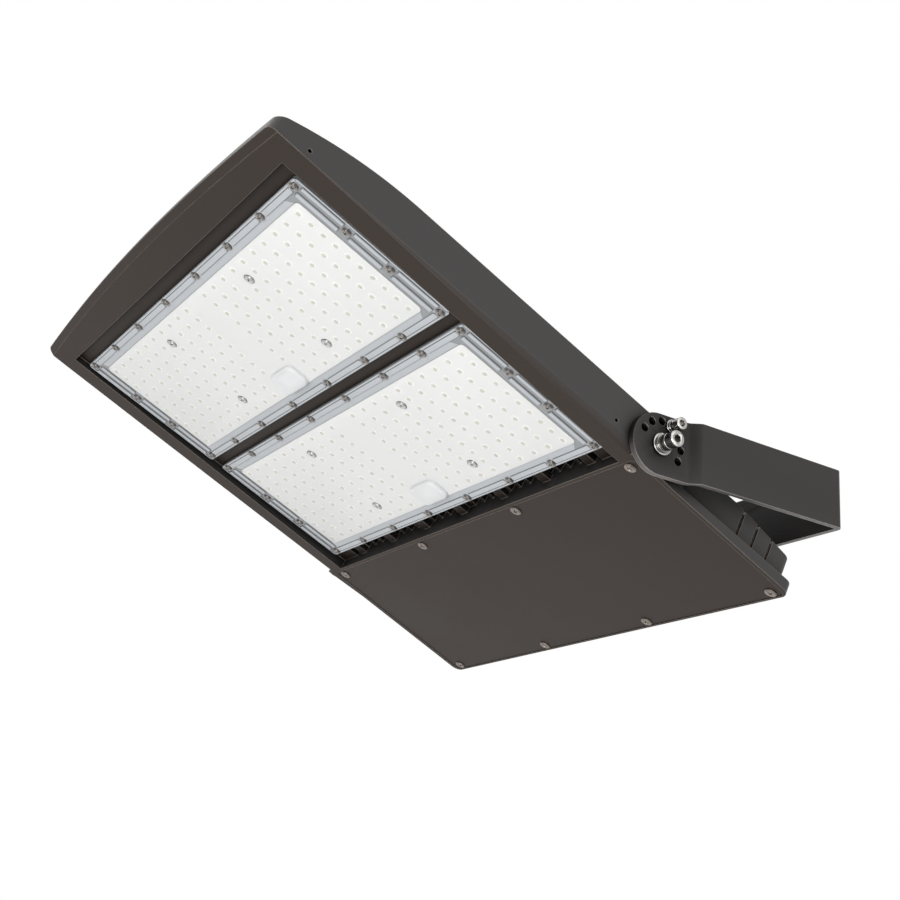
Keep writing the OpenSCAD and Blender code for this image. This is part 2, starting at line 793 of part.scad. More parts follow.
module thermal_pad(i) {
  color([0.55, 0.6, 0.62]) head() translate([0, lens_ys[i], 0]) difference() {
    plate(board_w - 4, board_l - 4, floor_z - pad_t, pad_t, 2);
    inner_places() translate([0, 0, floor_z - 3]) cylinder(r = inner_hole_r + 0.6, h = 5);
    translate([lead_x * (2 * i - 1), bump_y, floor_z - 3]) cylinder(r = lead_r + 1, h = 5);
  }
}

// True where a light point would meet a screw boss or the connector
function led_blocked(x, y) =
  (abs(abs(x) - inner_screw[0]) < 7 && abs(abs(y) - inner_screw[1]) < 6.5)
  || (abs(x) < bump_w / 2 + 1 && y > bump_y - bump_l / 2 - 3);

module leds(i) {
  color([0.85, 0.8, 0.55]) head() translate([0, lens_ys[i], 0]) {
    for (s = [-1, 1], c = [1:led_cols], r = [0:led_rows - 1]) {
      x = s * c * led_pitch_x;
      y = (r - (led_rows - 1) / 2) * led_pitch_y;
      if (!led_blocked(x, y)) translate([x - led_size / 2, y - led_size / 2, led_z]) {
        cube([led_size, led_size, led_t]);
      }
    }
  }
}

module board_connectors() {
  color(white) head() for (y = lens_ys) {
    translate([-connector_w / 2, y + bump_y - connector_l / 2, board_z - connector_h]) {
      cube([connector_w, connector_l, connector_h]);
    }
  }
}

// Leads of each board: up through the base, then along the duct into the driver box
module led_leads() {
  level = duct_z + lead_r + 0.6;
  color([0.6, 0.12, 0.1]) head() for (i = [0, 1]) {
    translate([lead_x * (2 * i - 1), lens_ys[i] + bump_y, 0]) {
      translate([0, 0, board_z]) cylinder(r = lead_r, h = level - board_z);
      translate([0, 0, level]) sphere(r = lead_r);
      translate([0, 0, level]) rotate([-90, 0, 0]) {
        cylinder(r = lead_r, h = driver_y - driver_w / 2 - lead_gap - lens_ys[i] - bump_y);
      }
    }
  }
}

// Positions of the driver screws
module driver_places() {
  for (s = [-1, 1], i = [-1, 1], j = [-1, 1]) {
    translate([s * driver_x + i * (driver_l + driver_tab) / 2, driver_y + j * driver_screw_y, 0]) children();
  }
}

module driver(s) {
  color(steel) head() difference() {
    translate([s * driver_x, driver_y, 0]) union() {
      plate(driver_l, driver_w, roof_z - driver_h, driver_h, 3);
      plate(driver_l + 2 * driver_tab, driver_w - 8, roof_z - driver_tab_t, driver_tab_t, 3);
    }
    driver_places() translate([0, 0, roof_z - driver_h]) {
      cylinder(r = driver_screw_r + 0.3, h = driver_h + eps);
    }
  }
}

module driver_screws() {
  color(steel) head() driver_places() translate([0, 0, roof_z - driver_tab_t]) {
    pan_head(driver_head_r, driver_head_h);
    translate([0, 0, -eps]) cylinder(r = driver_screw_r, h = driver_screw_len);
  }
}

module surge_protector() {
  color(black) head() translate([spd_x, spd_y, 0]) {
    plate(spd_size[0], spd_size[1], roof_rear_z - spd_size[2], spd_size[2], 3);
  }
}

module terminal_block() {
  poles = 5;
  color(white) head() translate([block_x, block_y, 0]) difference() {
    plate(block_size[0], block_size[1], roof_rear_z - block_size[2], block_size[2], 1);
    for (i = [0:poles - 1], j = [-1, 1]) {
      translate([(i - (poles - 1) / 2) * block_size[0] / poles, j * 6, roof_rear_z - block_size[2] - 1]) {
        cylinder(r = 2.2, h = 7);
      }
    }
  }
}

// Bundle of supply leads from below the gland to the terminal block
module supply_leads() {
  y_turn = block_y;
  color([0.15, 0.35, 0.2]) head() {
    translate([0, gland_y, supply_z]) cylinder(r = supply_r, h = roof_z - supply_r - supply_z);
    translate([0, gland_y, supply_z]) sphere(r = supply_r);
    translate([0, gland_y, supply_z]) rotate([-90, 0, 0]) cylinder(r = supply_r, h = y_turn - gland_y);
    translate([0, y_turn, supply_z]) sphere(r = supply_r);
    translate([0, y_turn, supply_z]) rotate([0, 90, 0]) {
      cylinder(r = supply_r, h = block_x - block_size[0] / 2);
    }
  }
}

module gland_seal() {
  color(black) head() translate([0, gland_y, top_z]) difference() {
    cylinder(r = gland_r + gland_seal_w, h = gland_seal_t);
    translate([0, 0, -1]) cylinder(r = gland_r + screw_gap, h = 5);
  }
}

module gland_body() {
  color(black) head() translate([0, gland_y, 0]) difference() {
    union() {
      translate([0, 0, roof_z - locknut_h - gland_stub]) {
        cylinder(r = gland_r, h = box_wall + gland_seal_t + locknut_h + gland_stub + eps);
      }
      translate([0, 0, top_z + gland_seal_t]) cylinder(r = gland_hex_r, h = gland_hex_h, $fn = 6);
      translate([0, 0, gland_top - eps]) cylinder(r = gland_r - 0.6, h = gland_thread_h);
    }
    translate([0, 0, roof_z - 8]) cylinder(r = gland_bore_r, h = 60);
    translate([0, 0, gland_top]) cylinder(r = gland_cup_r, h = 20);
  }
}

module gland_insert() {
  color(black) head() translate([0, gland_y, gland_top]) difference() {
    cylinder(r = gland_cup_r - screw_gap, h = insert_h);
    translate([0, 0, -1]) cylinder(r = insert_bore_r, h = 20);
  }
}

module gland_nut() {
  color(black) head() translate([0, gland_y, gland_top + 0.3]) difference() {
    union() {
      cylinder(r = gland_hex_r, h = gland_nut_h * 0.6, $fn = 6);
      translate([0, 0, gland_nut_h * 0.6 - eps]) cylinder(r1 = 11.4, r2 = 8, h = gland_nut_h * 0.4);
    }
    translate([0, 0, -1]) cylinder(r = gland_r - 0.6 + screw_gap, h = gland_thread_h + 1.5);
    translate([0, 0, gland_thread_h]) cylinder(r = gland_cup_r, h = insert_h - gland_thread_h - 0.3);
    translate([0, 0, gland_thread_h]) cylinder(r = gland_bore_r + 0.5, h = 20);
  }
}

module gland_locknut() {
  color(steel) head() translate([0, gland_y, roof_z - locknut_h]) difference() {
    cylinder(r = locknut_r, h = locknut_h, $fn = 6);
    translate([0, 0, -1]) cylinder(r = gland_r + screw_gap, h = 8);
  }
}

module breather_vent() {
  color(black) head() translate([0, vent_y, 0]) {
    translate([0, 0, roof_z - 4]) cylinder(r = vent_r, h = top_z - roof_z + 4 + eps);
    translate([0, 0, top_z]) cylinder(r = vent_cap_r, h = vent_cap_h);
    translate([0, 0, top_z + vent_cap_h - eps]) cylinder(r1 = vent_cap_r, r2 = vent_cap_r - 2, h = 1.5);
  }
}

// Places its children on the right side, or mirrored on the left
module side(s) mirror([s > 0 ? 0 : 1, 0, 0]) children();

module pivot_bolt(s) {
  color(steel) head() side(s) {
    socket_screw(pivot_in + 1, pivot_head_x, pivot_r, pivot_head_r, pivot_head_h, pivot_key_r);
  }
}

module pivot_flat_washers() {
  color(steel) head() for (s = [-1, 1]) side(s) {
    ring_x(pivot_wash_x, pivot_spring_x, flat_washer_r, pivot_r + screw_gap);
  }
}

// A split ring, cut open on one side
module split_ring(a, b, ro, ri) {
  difference() {
    ring_x(a, b, ro, ri);
    translate([a - 1, -0.6, 0]) cube([b - a + 2, 1.2, ro + 1]);
  }
}

module pivot_spring_washers() {
  color(steel) head() for (s = [-1, 1]) side(s) {
    split_ring(pivot_spring_x, pivot_spacer_x, spring_washer_r, pivot_r + screw_gap);
  }
}

module pivot_spacers() {
  color(steel) head() for (s = [-1, 1]) side(s) {
    ring_x(pivot_spacer_x, pivot_head_x, spacer_r, pivot_r + screw_gap);
  }
}

module friction_washers() {
  color(black) head() for (s = [-1, 1]) side(s) {
    ring_x(half_w, ear_in - run_gap, friction_r, pivot_r + screw_gap);
  }
}

// Places its children on the lock screw's axis
module at_lock() translate([0, -reach + ring_r * cos(lock_angle), ring_r * sin(lock_angle)]) children();

module lock_screw() {
  color(steel) at_lock() socket_screw(lock_tip_x, lock_head_x, lock_r, lock_head_r, lock_head_h, lock_key_r);
}

module lock_flat_washer() {
  color(steel) at_lock() ring_x(lock_wash_x, lock_spring_x, lock_washer_r, lock_r + screw_gap);
}

module lock_spring_washer() {
  color(steel) at_lock() split_ring(lock_spring_x, lock_spacer_x, lock_spring_r, lock_r + screw_gap);
}

module lock_spacer() {
  color(steel) at_lock() ring_x(lock_spacer_x, lock_head_x, lock_spacer_r, lock_r + screw_gap);
}

yoke_bracket();
housing();
driver_cover();
cover_gasket();
cover_screws();
lens(0);  // lens_front
lens(1);  // lens_rear
lens_gasket(0);  // lens_gasket_front
lens_gasket(1);  // lens_gasket_rear
lens_screws(0);  // lens_screws_front
lens_screws(1);  // lens_screws_rear
led_board(0);  // led_board_front
led_board(1);  // led_board_rear
leds(0);  // leds_front
leds(1);  // leds_rear
thermal_pad(0);  // thermal_pad_front
thermal_pad(1);  // thermal_pad_rear
board_connectors();
led_leads();
driver(-1);  // driver_left
driver(1);  // driver_right
driver_screws();
surge_protector();
terminal_block();
supply_leads();
gland_body();
gland_seal();
gland_nut();
gland_insert();
gland_locknut();
breather_vent();
pivot_bolt(-1);  // pivot_bolt_left
pivot_bolt(1);  // pivot_bolt_right
pivot_flat_washers();
pivot_spring_washers();
pivot_spacers();
friction_washers();
lock_screw();
lock_flat_washer();
lock_spring_washer();
lock_spacer();
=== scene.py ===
import math
import bpy
from mathutils import Matrix, Vector


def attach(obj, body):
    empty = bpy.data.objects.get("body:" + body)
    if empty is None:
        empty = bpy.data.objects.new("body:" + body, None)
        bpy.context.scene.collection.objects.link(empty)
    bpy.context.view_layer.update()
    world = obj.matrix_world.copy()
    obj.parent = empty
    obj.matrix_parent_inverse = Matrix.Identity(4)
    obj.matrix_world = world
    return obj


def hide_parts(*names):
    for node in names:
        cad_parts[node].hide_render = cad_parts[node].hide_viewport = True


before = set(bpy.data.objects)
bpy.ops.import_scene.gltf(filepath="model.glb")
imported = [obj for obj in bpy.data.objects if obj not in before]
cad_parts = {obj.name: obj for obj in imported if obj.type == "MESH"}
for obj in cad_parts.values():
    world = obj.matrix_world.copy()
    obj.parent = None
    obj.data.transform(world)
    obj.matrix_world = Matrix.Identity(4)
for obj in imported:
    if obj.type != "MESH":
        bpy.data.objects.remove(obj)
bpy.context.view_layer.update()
mm = 0.001
print("frame loaded")

# pose of the lamp head, in millimetres and degrees, as the housing is modelled
headPose = {"reach": 191.5, "tilt": 24.0}

# light panels, seen from each panel's centre; the face is the level of the rim
panel = {
    "width": 443.0, "length": 151.0, "face": -10.5, "thick": 3.0, "corner": 5.0,
    "centres": {"front": -263.4, "rear": -100.8},
    "fieldHalf": (201.0, 61.4), "fieldRise": 1.1,
    "hollowHalf": (202.3, 62.7), "hollowRoof": -9.9,
    "lipEdge": 0.5, "lipWidth": 1.6, "lipRise": 0.5,
    "screwX": (32.5, 97.0, 156.5, 212.0), "screwY": 71.0, "sideY": 21.2, "boreRadius": 2.3,
    "innerScrew": (81.5, 40.3), "innerArea": (110.0, 55.0), "cupRadius": 5.2, "bossRadius": 4.5,
}
bump = {
    "x": 0.0, "y": 49.0, "width": 40.0, "length": 25.0, "height": 4.0, "corner": 8.0, "edge": 3.2,
    "wall": 1.2, "roomHalf": (10.0, 6.5),
}
chips = {
    "cols": 10, "rows": 10, "pitchX": 19.2, "pitchY": 12.0, "size": 3.0, "seat": -8.6, "height": 0.8,
    "frame": 0.35, "sink": 0.12, "screwClear": (7.0, 6.5), "bumpClear": (1.0, 3.0),
}

# holes round the pivot on the near ear; the lock screw stands in the middle one
ring = {"radius": 19.4, "holeRadius": 3.5, "count": 7, "step": 30.0, "middle": 60.0}


def ringSpot(angle):
    # y and z of a point on the ring, in the wall frame
    turn = math.radians(angle)
    return -headPose["reach"] + ring["radius"] * math.cos(turn), ring["radius"] * math.sin(turn)


# editing helpers
def deselectAll():
    if bpy.context.object and bpy.context.object.mode != "OBJECT":
        bpy.ops.object.mode_set(mode="OBJECT")
    bpy.ops.object.select_all(action="DESELECT")


def takeNew(name):
    piece = bpy.context.object
    piece.name = name
    piece.data.name = name
    return piece


def makeActive(piece):
    deselectAll()
    piece.select_set(True)
    bpy.context.view_layer.objects.active = piece


def applyPlace(piece):
    makeActive(piece)
    bpy.ops.object.transform_apply(location=True, rotation=True, scale=True)


def addBox(name, low, high):
    deselectAll()
    size = [(b - a) * mm for a, b in zip(low, high)]
    centre = [(a + b) / 2 * mm for a, b in zip(low, high)]
    bpy.ops.mesh.primitive_cube_add(size=1, location=centre, scale=size)
    piece = takeNew(name)
    applyPlace(piece)
    return piece


def addDrum(name, radius, low, high, centre=(0, 0), sides=48, axis="Z", topRadius=None):
    # drum between two levels along an axis, centre given on the other two axes
    deselectAll()
    middle = (low + high) / 2
    a, b = centre
    place = {"X": (middle, a, b), "Y": (a, middle, b), "Z": (a, b, middle)}[axis]
    hexTurn = math.pi / 6 if sides == 6 else 0
    turn = {"X": (0, math.pi / 2, 0), "Y": (math.pi / 2, 0, 0), "Z": (0, 0, hexTurn)}[axis]
    if topRadius is None:
        topRadius = radius
    bpy.ops.mesh.primitive_cone_add(vertices=sides, radius1=radius * mm, radius2=topRadius * mm,
                                    depth=(high - low) * mm, location=[v * mm for v in place], rotation=turn)
    piece = takeNew(name)
    applyPlace(piece)
    return piece


def pickFaces(piece, test):
    # selects the faces that pass a test on centre (mm) and normal, in edit mode
    makeActive(piece)
    bpy.ops.object.mode_set(mode="EDIT")
    bpy.ops.mesh.select_all(action="DESELECT")
    bpy.ops.mesh.select_mode(type="FACE")
    bpy.ops.object.mode_set(mode="OBJECT")
    for face in piece.data.polygons:
        face.select = bool(test(face.center / mm, face.normal))
    bpy.ops.object.mode_set(mode="EDIT")


def pickEdges(piece, test):
    # selects the edges whose two ends (mm) pass a test, in edit mode
    makeActive(piece)
    bpy.ops.object.mode_set(mode="EDIT")
    bpy.ops.mesh.select_all(action="DESELECT")
    bpy.ops.mesh.select_mode(type="EDGE")
    bpy.ops.object.mode_set(mode="OBJECT")
    points = piece.data.vertices
    for edge in piece.data.edges:
        a, b = (points[i].co / mm for i in edge.vertices)
        edge.select = bool(test(a, b))
    bpy.ops.object.mode_set(mode="EDIT")


def inset(width, depth=0.0):
    bpy.ops.mesh.inset(thickness=width * mm, depth=depth * mm)


def push(x=0.0, y=0.0, z=0.0):
    bpy.ops.mesh.extrude_region_move(TRANSFORM_OT_translate={"value": (x * mm, y * mm, z * mm)})


def endEdit():
    bpy.ops.object.mode_set(mode="OBJECT")


def bevelBy(piece, width, segments=2, angle=35.0):
    makeActive(piece)
    edge = piece.modifiers.new("bevel", "BEVEL")
    edge.width = width * mm
    edge.segments = segments
    edge.limit_method = "ANGLE"
    edge.angle_limit = math.radians(angle)
    edge.miter_outer = "MITER_ARC"
    bpy.ops.object.modifier_apply(modifier=edge.name)


def cutBy(piece, tool, way="DIFFERENCE"):
    makeActive(piece)
    cut = piece.modifiers.new("cut", "BOOLEAN")
    cut.operation = way
    cut.solver = "EXACT"
    cut.use_self = False
    cut.object = tool
    bpy.ops.object.modifier_apply(modifier=cut.name)
    bpy.data.objects.remove(tool, do_unlink=True)


def joinAll(name, pieces):
    deselectAll()
    for piece in pieces:
        piece.select_set(True)
    bpy.context.view_layer.objects.active = pieces[0]
    if len(pieces) > 1:
        bpy.ops.object.join()
    joined = takeNew(name)
    makeActive(joined)
    return joined


def copyTo(source, place, turn=None):
    twin = source.copy()
    twin.data = source.data.copy()
    bpy.context.scene.collection.objects.link(twin)
    twin.location = Vector(place) * mm
    if turn is not None:
        twin.rotation_euler = turn
    return twin


def smooth(piece, angle=35.0):
    makeActive(piece)
    bpy.ops.object.shade_smooth_by_angle(angle=math.radians(angle))


def cleanNormals(piece):
    makeActive(piece)
    bpy.ops.object.mode_set(mode="EDIT")
    bpy.ops.mesh.select_all(action="SELECT")
    bpy.ops.mesh.remove_doubles(threshold=0.000001)
    bpy.ops.mesh.normals_make_consistent(inside=False)
    bpy.ops.object.mode_set(mode="OBJECT")


def placeOnHead(piece):
    # from the lamp head's own frame to the tilted place on the yoke
    deselectAll()
    piece.rotation_euler = (-math.radians(headPose["tilt"]), 0, 0)
    piece.location = (0, -headPose["reach"] * mm, 0)
    applyPlace(piece)


def finishPiece(piece, body, replaced, materials):
    if len(materials) == 1:
        piece.data.materials.clear()
    for index, material in enumerate(materials):
        if index < len(piece.data.materials):
            piece.data.materials[index] = material
        else:
            piece.data.materials.append(material)
    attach(piece, body)
    if replaced:
        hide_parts(*replaced)
    print("made", piece.name, len(piece.data.polygons))


# shared shader groups
def newGroup(name, inputs, outputs):
    group = bpy.data.node_groups.new(name, "ShaderNodeTree")
    for label, kind, value in inputs:
        socket = group.interface.new_socket(name=label, in_out="INPUT", socket_type=kind)
        if value is not None:
            socket.default_value = value
    for label, kind in outputs:
        group.interface.new_socket(name=label, in_out="OUTPUT", socket_type=kind)
    return group, group.nodes.new("NodeGroupInput"), group.nodes.new("NodeGroupOutput")


def math2(tree, operation, a, b=None, clamp=False):
    node = tree.nodes.new("ShaderNodeMath")
    node.operation = operation
    node.use_clamp = clamp
    for index, value in enumerate((a, b)):
        if value is None:
            continue
        if isinstance(value, (int, float)):
            node.inputs[index].default_value = value
        else:
            tree.links.new(value, node.inputs[index])
    return node.outputs[0]


def buildPowderCoat():
    # fine orange-peel of a baked powder coat: height, colour shift and gloss shift
    inputs = [("Vector", "NodeSocketVector", None), ("Grain", "NodeSocketFloat", 900.0),
              ("Cloud", "NodeSocketFloat", 9.0)]
    outputs = [("Height", "NodeSocketFloat"), ("Shade", "NodeSocketFloat"), ("Gloss", "NodeSocketFloat")]
    group, entry, out = newGroup("powderCoat", inputs, outputs)
    grain = group.nodes.new("ShaderNodeTexNoise")
    grain.inputs["Detail"].default_value = 2.0
    cloud = group.nodes.new("ShaderNodeTexNoise")
    cloud.inputs["Detail"].default_value = 4.0
    cloud.inputs["Roughness"].default_value = 0.6
    for node, label in ((grain, "Grain"), (cloud, "Cloud")):
        group.links.new(entry.outputs["Vector"], node.inputs["Vector"])
        group.links.new(entry.outputs[label], node.inputs["Scale"])
    group.links.new(grain.outputs["Fac"], out.inputs["Height"])
    group.links.new(cloud.outputs["Fac"], out.inputs["Shade"])
    group.links.new(math2(group, "MULTIPLY", grain.outputs["Fac"], cloud.outputs["Fac"]), out.inputs["Gloss"])
    return group


def buildEdgeMask():
    # one along outer edges; the materials paint edge highlights and the shade of folds with it
    outputs = [("Mask", "NodeSocketFloat"), ("Normal", "NodeSocketVector")]
    group, entry, out = newGroup("edgeMask", [("Radius", "NodeSocketFloat", 0.0008)], outputs)
    rounder = group.nodes.new("ShaderNodeBevel")
    rounder.samples = 6
    group.links.new(entry.outputs["Radius"], rounder.inputs["Radius"])
    geometry = group.nodes.new("ShaderNodeNewGeometry")
    dot = group.nodes.new("ShaderNodeVectorMath")
    dot.operation = "DOT_PRODUCT"
    group.links.new(rounder.outputs["Normal"], dot.inputs[0])
    group.links.new(geometry.outputs["Normal"], dot.inputs[1])
    bend = math2(group, "SUBTRACT", 1.0, dot.outputs["Value"])
    group.links.new(math2(group, "MULTIPLY", bend, 3.0, clamp=True), out.inputs["Mask"])
    group.links.new(rounder.outputs["Normal"], out.inputs["Normal"])
    return group


def buildCreviceShade():
    # one in the open, zero deep in gaps and recesses; the materials paint shade in recesses with it
    inputs = [("Distance", "NodeSocketFloat", 0.02)]
    group, entry, out = newGroup("creviceShade", inputs, [("Open", "NodeSocketFloat")])
    shade = group.nodes.new("ShaderNodeAmbientOcclusion")
    shade.samples = 6
    group.links.new(entry.outputs["Distance"], shade.inputs["Distance"])
    group.links.new(shade.outputs["AO"], out.inputs["Open"])
    return group


def buildUnderside():
    # one where a face looks the way of Down, seen from the object itself; the materials paint light and sheen
    # by face direction with it
    inputs = [("Down", "NodeSocketVector", None), ("Tight", "NodeSocketFloat", 1.0)]
    group, entry, out = newGroup("underside", inputs, [("Mask", "NodeSocketFloat")])
    own = group.nodes.new("ShaderNodeTexCoord")
    dot = group.nodes.new("ShaderNodeVectorMath")
    dot.operation = "DOT_PRODUCT"
    group.links.new(own.outputs["Normal"], dot.inputs[0])
    group.links.new(entry.outputs["Down"], dot.inputs[1])
    down = math2(group, "MULTIPLY", dot.outputs["Value"], 1.0, clamp=True)
    group.links.new(math2(group, "POWER", down, entry.outputs["Tight"]), out.inputs["Mask"])
    return group


powderCoat = buildPowderCoat()
creviceShade = buildCreviceShade()
underside = buildUnderside()
edgeMask = buildEdgeMask()

# the way that the lenses face, in the wall frame
headTilt = math.radians(headPose["tilt"])
headDown = (0.0, -math.sin(headTilt), -math.cos(headTilt))


def newMaterial(name, color, roughness, metallic=0.0, alpha=None, specular=None):
    material = bpy.data.materials.new(name)
    material.use_nodes = True
    shader = material.node_tree.nodes["Principled BSDF"]
    shader.inputs["Base Color"].default_value = (*color, 1.0)
    shader.inputs["Roughness"].default_value = roughness
    shader.inputs["Metallic"].default_value = metallic
    if specular is not None:
        shader.inputs["Specular IOR Level"].default_value = specular
    if alpha is not None:
        shader.inputs["Alpha"].default_value = alpha
    return material, material.node_tree, shader


def placeGroup(tree, group, **values):
    node = tree.nodes.new("ShaderNodeGroup")
    node.node_tree = group
    for label, value in values.items():
        node.inputs[label].default_value = value
    return node


def objectCoordinates(tree):
    return tree.nodes.new("ShaderNodeTexCoord").outputs["Object"]


def mixColors(tree, factor, a, b):
    mix = tree.nodes.new("ShaderNodeMix")
    mix.data_type = "RGBA"
    for socket, value in ((mix.inputs[6], a), (mix.inputs[7], b)):
        if isinstance(value, tuple):
            socket.default_value = (*value, 1.0)
        else:
            tree.links.new(value, socket)
    tree.links.new(factor, mix.inputs[0])
    return mix.outputs[2]


def addGloss(tree, shader, coat, share, least):
    # roughness that varies a little with the coat
    gloss = math2(tree, "MULTIPLY", coat.outputs["Gloss"], share)
    tree.links.new(math2(tree, "ADD", gloss, least), shader.inputs["Roughness"])


def addRelief(tree, shader, coat, strength, distance, normal=None):
    # fine bumps of the coat
    relief = tree.nodes.new("ShaderNodeBump")
    relief.inputs["Strength"].default_value = strength
    relief.inputs["Distance"].default_value = distance
    tree.links.new(coat.outputs["Height"], relief.inputs["Height"])
    if normal is not None:
        tree.links.new(normal, relief.inputs["Normal"])
    tree.links.new(relief.outputs["Normal"], shader.inputs["Normal"])


def coatedMetal(name, color, pale, roughness, highlightColor, highlightStrength, radius, depth, litBelow=None, sideSheen=None,
                falling=1.0):
    # painted shade in recesses and painted highlights on outer edges; the optional side colour is a painted
    # sheen on faces that don't look the lens way, the optional lower colour painted light on downward faces
    material, tree, shader = newMaterial(name, color, roughness, specular=0.2)
    coat = placeGroup(tree, powderCoat, Grain=900.0)
    tree.links.new(objectCoordinates(tree), coat.inputs["Vector"])
    edges = placeGroup(tree, edgeMask, Radius=radius)
    base = mixColors(tree, coat.outputs["Shade"], color, pale)
    # painted sheen: faces that don't look the lens way get a greyer colour
    if sideSheen is not None:
        below = placeGroup(tree, underside, Down=headDown, Tight=2.0)
        base = mixColors(tree, below.outputs["Mask"], sideSheen, base)
    # painted shade: the colour goes dark in recesses, and the recesses turn metallic, which darkens them more
    opened = placeGroup(tree, creviceShade, Distance=depth)
    openness = math2(tree, "POWER", opened.outputs["Open"], falling)
    base = mixColors(tree, openness, tuple(c * 0.15 for c in color), base)
    tree.links.new(math2(tree, "SUBTRACT", 1.0, openness, clamp=True), shader.inputs["Metallic"])
    # painted highlight: a paler colour along the outer edges
    paintedHighlight = math2(tree, "MULTIPLY", edges.outputs["Mask"], highlightStrength)
    # painted light: downward faces get a paler colour, and the edge highlights are stronger there
    if litBelow is not None:
        below = placeGroup(tree, underside, Down=(0.0, 0.0, -1.0), Tight=1.5)
        paintedHighlight = math2(tree, "MULTIPLY", paintedHighlight, math2(tree, "ADD", below.outputs["Mask"], 0.12))
        base = mixColors(tree, below.outputs["Mask"], base, litBelow)
    tree.links.new(mixColors(tree, paintedHighlight, base, highlightColor), shader.inputs["Base Color"])
    addGloss(tree, shader, coat, 0.3, roughness - 0.08)
    addRelief(tree, shader, coat, 0.12, 0.0002, edges.outputs["Normal"])
    return material


def brightSteel(name, color, roughness, falling=0.85, depth=0.004):
    # painted dark reflection towards grazing angles and painted shade in the recesses, as polished steel in a
    # dark room shows
    paintedDark = (0.05, 0.045, 0.04)
    material, tree, shader = newMaterial(name, color, roughness, metallic=1.0)
    coat = placeGroup(tree, powderCoat, Grain=300.0, Cloud=60.0)
    tree.links.new(objectCoordinates(tree), coat.inputs["Vector"])
    addGloss(tree, shader, coat, 0.35, roughness - 0.08)
    base = mixColors(tree, coat.outputs["Shade"], color, tuple(c * 0.82 for c in color))
    # painted reflection: darker towards grazing angles
    facing = tree.nodes.new("ShaderNodeLayerWeight")
    facing.inputs["Blend"].default_value = 0.42
    base = mixColors(tree, math2(tree, "MULTIPLY", facing.outputs["Facing"], falling), base, paintedDark)
    # painted shade: dark in the recesses
    opened = placeGroup(tree, creviceShade, Distance=depth)
    tree.links.new(mixColors(tree, opened.outputs["Open"], paintedDark, base), shader.inputs["Base Color"])
    addRelief(tree, shader, coat, 0.08, 0.0001)
    return material


def clearRim(name, light, paintedDark, roughness, alpha):
    # clear moulding seen over a dark gap, with painted light: pale where level, painted shade on its slopes,
    # folds and recesses
    material, tree, shader = newMaterial(name, light, roughness, alpha=alpha, specular=1.0)
    folds = placeGroup(tree, edgeMask, Radius=0.001)
    # painted light: pale where a face looks the lens way, painted shade on the slopes
    level = placeGroup(tree, underside, Down=headDown, Tight=5.0)
    opened = placeGroup(tree, creviceShade, Distance=0.008)
    base = mixColors(tree, level.outputs["Mask"], paintedDark, light)
    # painted shade along the folds
    base = mixColors(tree, math2(tree, "MULTIPLY", folds.outputs["Mask"], 0.7), base, paintedDark)
    # painted shade in the recesses
    tree.links.new(mixColors(tree, opened.outputs["Open"], paintedDark, base), shader.inputs["Base Color"])
    return material


def mouldedPlastic(name, color, pale, roughness, alpha=None, specular=0.5):
    material, tree, shader = newMaterial(name, color, roughness, alpha=alpha, specular=specular)
    coat = placeGroup(tree, powderCoat, Grain=700.0, Cloud=25.0)
    tree.links.new(objectCoordinates(tree), coat.inputs["Vector"])
    tree.links.new(mixColors(tree, coat.outputs["Shade"], color, pale), shader.inputs["Base Color"])
    addGloss(tree, shader, coat, 0.2, roughness - 0.05)
    addRelief(tree, shader, coat, 0.05, 0.0001)
    return material


